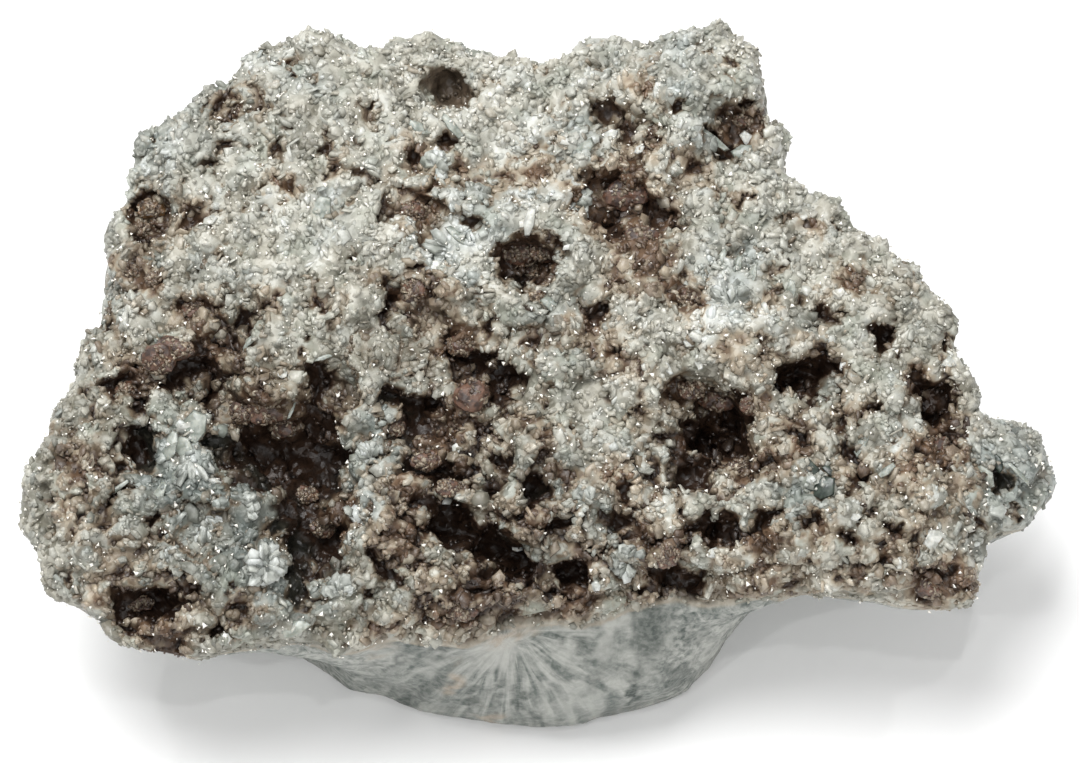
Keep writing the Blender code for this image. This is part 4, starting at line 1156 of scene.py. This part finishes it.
# %% Rosettes
ROSETTES = [
    (-22.7, -15.2, 2.1, 40, 0, 360, 0.50), (-27.6, -11.2, 2.8, 30, -130, 20, 0.60),
    (-15.0, -12.0, 2.2, 30, -110, 120, 0.62), (-31.2, -8.4, 2.6, 14, 200, 290, 0.50),
    (-28.9, -6.4, 2.4, 18, 220, 330, 0.52), (7.3, -15.0, 1.7, 24, 20, 300, 0.42),
    (-8.8, 18.0, 1.6, 18, -60, 160, 0.60), (2.9, 14.9, 1.7, 18, -160, 60, 0.60),
    (-14.0, -6.4, 2.0, 18, 60, 220, 0.55), (13.8, 9.4, 2.6, 18, 210, 330, 0.52),
    (15.8, 6.4, 2.4, 18, 30, 180, 0.48), (-16.4, -17.6, 1.8, 14, 20, 180, 0.42),
    (3.8, -10.0, 2.0, 16, 60, 220, 0.50), (-7.6, 11.0, 2.2, 18, 130, 290, 0.42),
    (-30.8, -15.0, 1.6, 14, -20, 130, 0.52), (-24.4, -10.4, 1.6, 14, -60, 100, 0.45),
]
FROM_FAR = 0.1


def stone_at(right, up):
    """The place that the camera sees at this spot of the picture, and the stone's direction out there."""
    start = FACE_MIDDLE + (SEEN[0] * right + SEEN[1] * up) * MM + SEEN[2] * FROM_FAR
    place, out, _, _ = solid.ray_cast(Vector(start), Vector(-SEEN[2]))
    return np.array(place), np.array(out)


print("rosettes:", len(ROSETTES), "with the first at", np.round(stone_at(*ROSETTES[0][:2])[0] / MM, 1), "mm")

# %% [markdown]
# The blades of a rosette start near its centre and point away from it, a little up or down. Each is rolled about
# its own length by chance, so that some show their broad side and some their edge, as in the photograph.

# %% Blades of the rosettes
BLADE_SIDES = 6
BLADE_TAPER = 0.9


def blade_shape():
    """A thin six-sided blade, narrow at its inner end."""
    shape = bmesh.new()
    bmesh.ops.create_cone(shape, cap_ends=True, segments=BLADE_SIDES, radius1=1.0, radius2=BLADE_TAPER, depth=1.0)
    for corner in shape.verts:
        if corner.co.x < -0.2:
            corner.co.y *= 0.4
    places, faces = shape_tables(shape)
    return places, np.arange(len(places)), faces


def rosette_blades(chance):
    """The place, axes, size, tone and stain of every blade, as five tables."""
    blades = []
    for right, up, radius, count, first, last, tone_here in ROSETTES:
        middle, out = stone_at(right, up)
        axis = unit(0.5 * out + SEEN[2])
        level = unit(SEEN[0] - axis * (SEEN[0] @ axis))
        upward = np.cross(axis, level)
        for k in range(count):
            angle = math.radians(first + (last - first) * (k + chance.uniform(-0.6, 1.6)) / count)
            radial = level * math.cos(angle) + upward * math.sin(angle)
            raised = math.radians(chance.uniform(-14, 22))
            along = radial * math.cos(raised) + axis * math.sin(raised)
            side = np.cross(axis, radial)
            roll = math.radians(chance.uniform(-60, 60))
            facing = unit(np.cross(along, side)) * math.cos(roll) + side * math.sin(roll)
            half_length = 0.45 * radius * MM * chance.uniform(0.45, 1.1)
            start = chance.uniform(0.35, 0.75)
            half_width = 1.7 * radius * MM * abs(math.radians(last - first)) / count
            place = middle + along * start * radius * MM * 0.9 - axis * 0.05 * MM
            size = (half_length, half_width, chance.uniform(0.12, 0.26) * MM)
            blade_tone = np.clip(tone_here + chance.normal(0, 0.17), 0, 1)
            frame_here = (along, np.cross(facing, along), facing)
            blades.append((place, frame_here, size, blade_tone, chance.uniform(0.0, 0.2)))
    return [np.array(column) for column in zip(*blades)]


rosette_chance = np.random.default_rng(404)
places, frames, sizes, tones, stains = rosette_blades(rosette_chance)
blade = blade_shape()
corner_reach = rosette_chance.uniform(0.75, 1.2, (len(places), len(blade[0])))
values = {"tone": tones, "stain": stains, "deep": 0 * stains, "cool": 0.7 + stains}
rosettes = joined_copies("rosettes", blade, places, frames, sizes, corner_reach, values, crystal)

# %% [markdown]
# In the pits sit round lumps, coated brown by iron. Each is a ball with uneven faces, sunk into the stone, with its
# place as seen and its half width and half height. A few flatter lumps of clearer amber brown lie on the crust.

# %% Knobs in the pits
KNOBS = [
    (-21.3, -3.6, 1.3, 1.0), (-22.8, -2.4, 1.4, 1.2), (-34.4, -0.8, 0.9, 0.8), (-10.5, 7.6, 1.1, 1.0),
    (-5.7, -1.1, 1.4, 1.3), (17.6, -2.0, 1.0, 0.8), (10.4, -14.3, 1.1, 1.0), (-24.6, -2.6, 1.2, 0.9),
    (-10.6, 14.2, 1.1, 0.9), (17.2, 22.0, 1.0, 0.8), (-9.4, -6.6, 1.2, 0.8), (33.0, -5.4, 1.1, 0.9),
    (-33.2, -18.4, 1.2, 0.6), (7.2, 15.6, 1.8, 1.2), (-6.6, 3.0, 1.1, 0.9), (-1.6, 10.6, 1.5, 1.1),
    (-18.0, -12.2, 1.0, 0.8), (-7.6, -8.8, 0.9, 0.7), (16.6, -7.2, 0.9, 0.8), (-12.2, -3.8, 1.0, 0.8),
    (-30.4, 2.8, 1.6, 0.9), (-31.7, 1.8, 1.4, 1.2), (8.6, 12.0, 1.4, 0.9), (-19.6, -9.4, 1.1, 0.7),
    (-6.4, -19.0, 1.2, 0.8), (32.2, -17.0, 1.2, 0.9), (-25.4, 22.6, 0.8, 0.7), (12.4, 7.0, 1.0, 0.8),
    (-28.8, 6.0, 1.0, 0.8), (0.3, 10.9, 1.2, 0.9), (-0.8, 9.2, 1.0, 0.8), (14.8, -1.3, 1.5, 1.2),
    (12.6, -0.6, 1.1, 0.9),
]
AMBER_SKINS = [
    (0.2, 7.0, 1.8, 0.5), (-32.5, 14.4, 1.1, 0.8), (-34.0, 9.4, 0.9, 0.8), (-31.9, 13.4, 0.7, 0.5),
    (-32.2, 8.6, 0.6, 0.5), (26.2, 8.5, 0.7, 0.5), (-33.4, 12.6, 0.7, 0.6),
]
KNOB_RISE = 0.12
KNOB_DEPTH = 0.6

ball = bmesh.new()
bmesh.ops.create_icosphere(ball, subdivisions=3, radius=1.0)
ball_points, ball_faces = shape_tables(ball)


def knob_place(right, up, half_wide, half_high):
    """The middle of a knob and its three half sizes, in metres."""
    half_deep = KNOB_DEPTH * min(half_wide, half_high)
    middle = stone_at(right, up)[0] + SEEN[2] * (half_deep * KNOB_RISE * MM)
    return middle, np.array((half_wide, half_high, half_deep)) * MM


def knob(name, material, rows):
    """Round lumps with uneven faces, each sunk into the stone at the spot where it is seen."""
    corner_places, corner_faces = [], []
    for number, row in enumerate(rows):
        middle, half_sizes = knob_place(*row)
        uneven = 0.95 + 0.20 * rough(ball_points, 0.9, 7.0 * number + 1)
        uneven += 0.10 * rough(ball_points, 0.4, 5.0 * number)
        _, _, facet = cells(ball_points + number, 0.6)
        uneven += 0.16 * ((facet - number) * ball_points).sum(axis=1) - 0.10
        corner_faces.append(ball_faces + len(ball_points) * number)
        corner_places.append(middle + (ball_points * uneven[:, None] * half_sizes) @ SEEN)
    mesh = bpy.data.meshes.new(name)
    mesh.from_pydata(np.concatenate(corner_places).tolist(), [], np.concatenate(corner_faces).tolist())
    mesh.update()
    mesh.materials.append(material)
    print(name + ":", len(rows), "lumps,", len(mesh.polygons), "triangles")
    return add_object(name, mesh)


knobs = [knob("knobs", umber, KNOBS), knob("amber_skins", amber, AMBER_SKINS)]

# %% [markdown]
# The real lumps look sugary, because small crystals stand all over them. The same plates as on the crust are set on
# every ball here, each leaning outward and turned by chance.

# %% Flakes on the knobs
KNOB_FLAKES = 80


def knob_flakes(name, rows):
    """Small plates that stand all over the knobs and lean outward from their middles."""
    chance = np.random.default_rng(505)
    places, outs = [], []
    for row in rows:
        middle, half_sizes = knob_place(*row)
        ways = unit(chance.normal(size=(KNOB_FLAKES, 3)) + (0, 0, 0.6))
        places.append(middle + (ways * half_sizes * 0.95) @ SEEN)
        outs.append(unit(ways / half_sizes) @ SEEN)
    places, outs = np.concatenate(places), np.concatenate(outs)
    count = len(places)
    frames = tilted_frames(chance, outs, 0.9)
    length = chance.uniform(0.16, 0.38, count) * MM
    sizes = np.column_stack((length, 0.75 * length, chance.uniform(0.08, 0.2, count) * MM))
    corner_reach = chance.uniform(0.7, 1.15, (count, PLATE_SIDES))
    values = {"tone": chance.beta(1.4, 2.2, count), "stain": chance.uniform(0.55, 1.0, count),
              "deep": chance.uniform(0.0, 0.5, count), "cool": np.zeros(count)}
    pattern = plate_shape(PLATE_SIDES, PLATE_TAPER)
    return joined_copies(name, pattern, places, frames, sizes, corner_reach, values, crystal)


knobs.append(knob_flakes("knob_flakes", KNOBS + AMBER_SKINS))

# %% [markdown]
# The largest flakes are seen as single plates: white ones that catch the light, grey ones on the cool bunches, and
# a few dark green ones on the right. Each row holds the place as seen, the half length and half width, the turn
# from level, and how far the plate leans away from facing the viewer.

# %% Single plates
PLATES = {
    "white_plates": (pearl, [
        (-0.9, 13.1, 1.4, 0.5, 80, 10), (9.8, 24.3, 1.0, 0.5, 85, -10), (5.9, 20.5, 0.8, 0.6, 60, 20),
        (32.8, -13.2, 1.4, 1.15, 100, -22), (-9.0, 9.6, 1.0, 0.5, 38, 25), (-6.9, -5.5, 0.6, 0.5, 70, 10),
        (-2.2, 3.9, 0.6, 0.3, 80, 0), (-8.8, 19.2, 0.5, 0.25, 60, 0), (-27.0, -8.3, 0.7, 0.4, -20, 20),
        (-26.8, 16.0, 0.5, 0.3, 110, 0), (-25.7, 9.0, 0.5, 0.4, 0, 20), (12.6, 3.3, 0.8, 0.6, 20, 25),
        (10.6, 1.1, 0.7, 0.3, 120, 15), (26.0, -11.2, 0.5, 0.4, 30, 0), (-30.0, -10.8, 0.5, 0.3, 70, 20),
        (4.1, 25.6, 0.5, 0.5, 0, 0), (8.3, 19.4, 0.6, 0.4, 50, 20), (24.2, 3.4, 0.5, 0.4, 90, 0),
        (13.2, 1.6, 0.8, 0.4, 100, 15), (-21.4, 0.6, 0.5, 0.4, 0, 10), (-1.9, -13.8, 0.5, 0.4, 0, 20),
        (34.0, 1.6, 0.7, 0.5, 0, 10), (25.2, 1.4, 0.8, 0.3, 60, 15), (17.4, 20.2, 0.8, 0.5, 130, 10),
        (-25.9, -21.2, 0.5, 0.4, 90, 10), (14.2, -14.2, 0.6, 0.5, 30, 15), (-8.0, -9.8, 0.7, 0.4, -20, 20),
    ]),
    "green_plates": (green, [
        (22.2, -7.5, 1.7, 1.1, 110, 12), (23.3, -8.8, 1.4, 1.0, 60, 25), (21.9, -9.2, 1.1, 0.8, 10, 15),
        (24.0, -7.4, 0.9, 0.5, -40, 30), (38.0, -6.8, 0.9, 0.5, 120, 20),
    ]),
    "grey_plates": (ash, [
        (-18.3, 14.3, 1.3, 0.9, 70, 10), (-29.8, -7.4, 1.8, 0.8, 60, 35), (-31.6, -9.6, 1.6, 0.6, 65, 40),
        (-30.6, -5.4, 1.4, 0.7, 80, 30), (-24.0, 3.4, 1.3, 0.3, 48, 20), (-35.2, -9.0, 1.6, 0.25, 35, 20),
        (-18.0, 2.0, 1.1, 0.25, 15, 20), (-20.6, -2.4, 0.9, 0.2, 70, 10), (14.6, 20.2, 1.5, 0.4, -40, 20),
        (17.0, 19.2, 1.0, 0.7, 20, 20), (3.4, 19.2, 1.5, 0.7, 40, 30), (16.4, 9.6, 1.4, 0.5, 75, 25),
        (17.6, 8.8, 1.2, 0.5, 80, 30), (15.0, 10.2, 1.3, 0.4, 60, 30), (20.9, 7.6, 1.0, 0.5, 90, 20),
        (-7.4, 21.4, 1.4, 0.5, -50, 25), (-10.2, 21.2, 1.2, 0.5, -35, 25), (26.6, -5.2, 1.3, 0.5, 60, 25),
        (28.6, -7.4, 1.2, 0.5, 40, 25), (-6.8, 12.2, 1.3, 0.5, -40, 25), (1.2, 6.4, 1.3, 0.6, -30, 20),
        (-20.2, -20.4, 1.4, 0.7, 30, 15), (-28.6, -3.9, 1.4, 1.1, 70, 15), (-29.3, -5.6, 1.3, 0.9, 100, 25),
        (36.8, -8.0, 1.2, 0.9, 120, 30), (39.8, -7.6, 1.4, 0.3, -45, 20),
    ]),
}
PLATE_THICKNESS = 0.12
PLATE_LIFT = 0.12


def single_plates(name, material, rows):
    """Plates that face the viewer apart from their lean, each turned and sized as it is seen."""
    places, frames, sizes = [], [], []
    for right, up, half_length, half_width, turn, lean in rows:
        middle, _ = stone_at(right, up)
        turn, lean = math.radians(turn), math.radians(lean)
        along = SEEN[0] * math.cos(turn) + SEEN[1] * math.sin(turn)
        across = SEEN[1] * math.cos(turn) - SEEN[0] * math.sin(turn)
        facing = SEEN[2] * math.cos(lean) + across * math.sin(lean)
        places.append(middle + SEEN[2] * PLATE_LIFT * MM)
        frames.append((along, np.cross(facing, along), facing))
        sizes.append((half_length * MM, half_width * MM, PLATE_THICKNESS * MM))
    pattern = plate_shape(BLADE_SIDES, PLATE_TAPER)
    corner_reach = np.random.default_rng(len(rows)).uniform(0.72, 1.2, (len(rows), BLADE_SIDES))
    places, frames, sizes = np.array(places), np.array(frames), np.array(sizes)
    return joined_copies(name, pattern, places, frames, sizes, corner_reach, {}, material)


single = [single_plates(name, material, rows) for name, (material, rows) in PLATES.items()]

# %% [markdown]
# A specimen photograph has a plain white ground and soft light from above. One broad panel gives the form its
# shade, a second fills from the front, and a few small bright lamps are there only to make flat crystals glint.

# %% Ground and light
GROUND_SIZE = 2.0
DAYLIGHT = 0.5
LAMPS = [
    ("top_panel", (-0.15, 0.12, 0.60), 0.45, 4.0, (0, 0, 0.01)),
    ("front_panel", (0.15, -0.55, 0.35), 0.35, 1.2, (0, 0, 0.01)),
    ("glint_0", (-0.35, 0.20, 0.50), 0.02, 0.28, (0, 0, 0.02)),
    ("glint_1", (0.30, 0.25, 0.55), 0.02, 0.28, (0, 0, 0.02)),
    ("glint_2", (0.05, -0.20, 0.70), 0.02, 0.28, (0, 0, 0.02)),
    ("glint_3", (-0.2, -0.3, 0.55), 0.02, 0.28, (0, 0, 0.02)),
]


def area_light(name, spot, size, power, aim):
    """A round lamp of this size at a spot, turned to what it lights."""
    lamp = bpy.data.lights.new(name, "AREA")
    lamp.shape = "DISK"
    lamp.size = size
    lamp.energy = power
    holder = add_object(name, lamp)
    holder.location = spot
    holder.rotation_mode = "QUATERNION"
    holder.rotation_quaternion = (Vector(aim) - Vector(spot)).to_track_quat("-Z", "Y")


ground_mesh = bpy.data.meshes.new("ground")
ground_shape = bmesh.new()
bmesh.ops.create_grid(ground_shape, x_segments=1, y_segments=1, size=GROUND_SIZE)
ground_shape.to_mesh(ground_mesh)
ground_shape.free()
ground_sheet = Sheet("white_ground")
ground_sheet.shine({"Base Color": (0.92, 0.92, 0.92, 1.0), "Roughness": 0.9, "Specular IOR Level": 0.1})
ground_mesh.materials.append(ground_sheet.material)
add_object("ground", ground_mesh)
for lamp_row in LAMPS:
    area_light(*lamp_row)

world = bpy.data.worlds.new("daylight")
world.use_nodes = True
world.node_tree.nodes["Background"].inputs["Color"].default_value = (1.0, 1.0, 1.0, 1.0)
world.node_tree.nodes["Background"].inputs["Strength"].default_value = DAYLIGHT
bpy.context.scene.world = world
bpy.context.scene.view_settings.view_transform = "Standard"
print("lamps:", len(LAMPS))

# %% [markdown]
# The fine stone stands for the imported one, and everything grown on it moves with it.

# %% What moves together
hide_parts("seraphinite")
for piece in [stone, *grains, *plates, glints, rosettes, *knobs, *single]:
    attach(piece, "root")
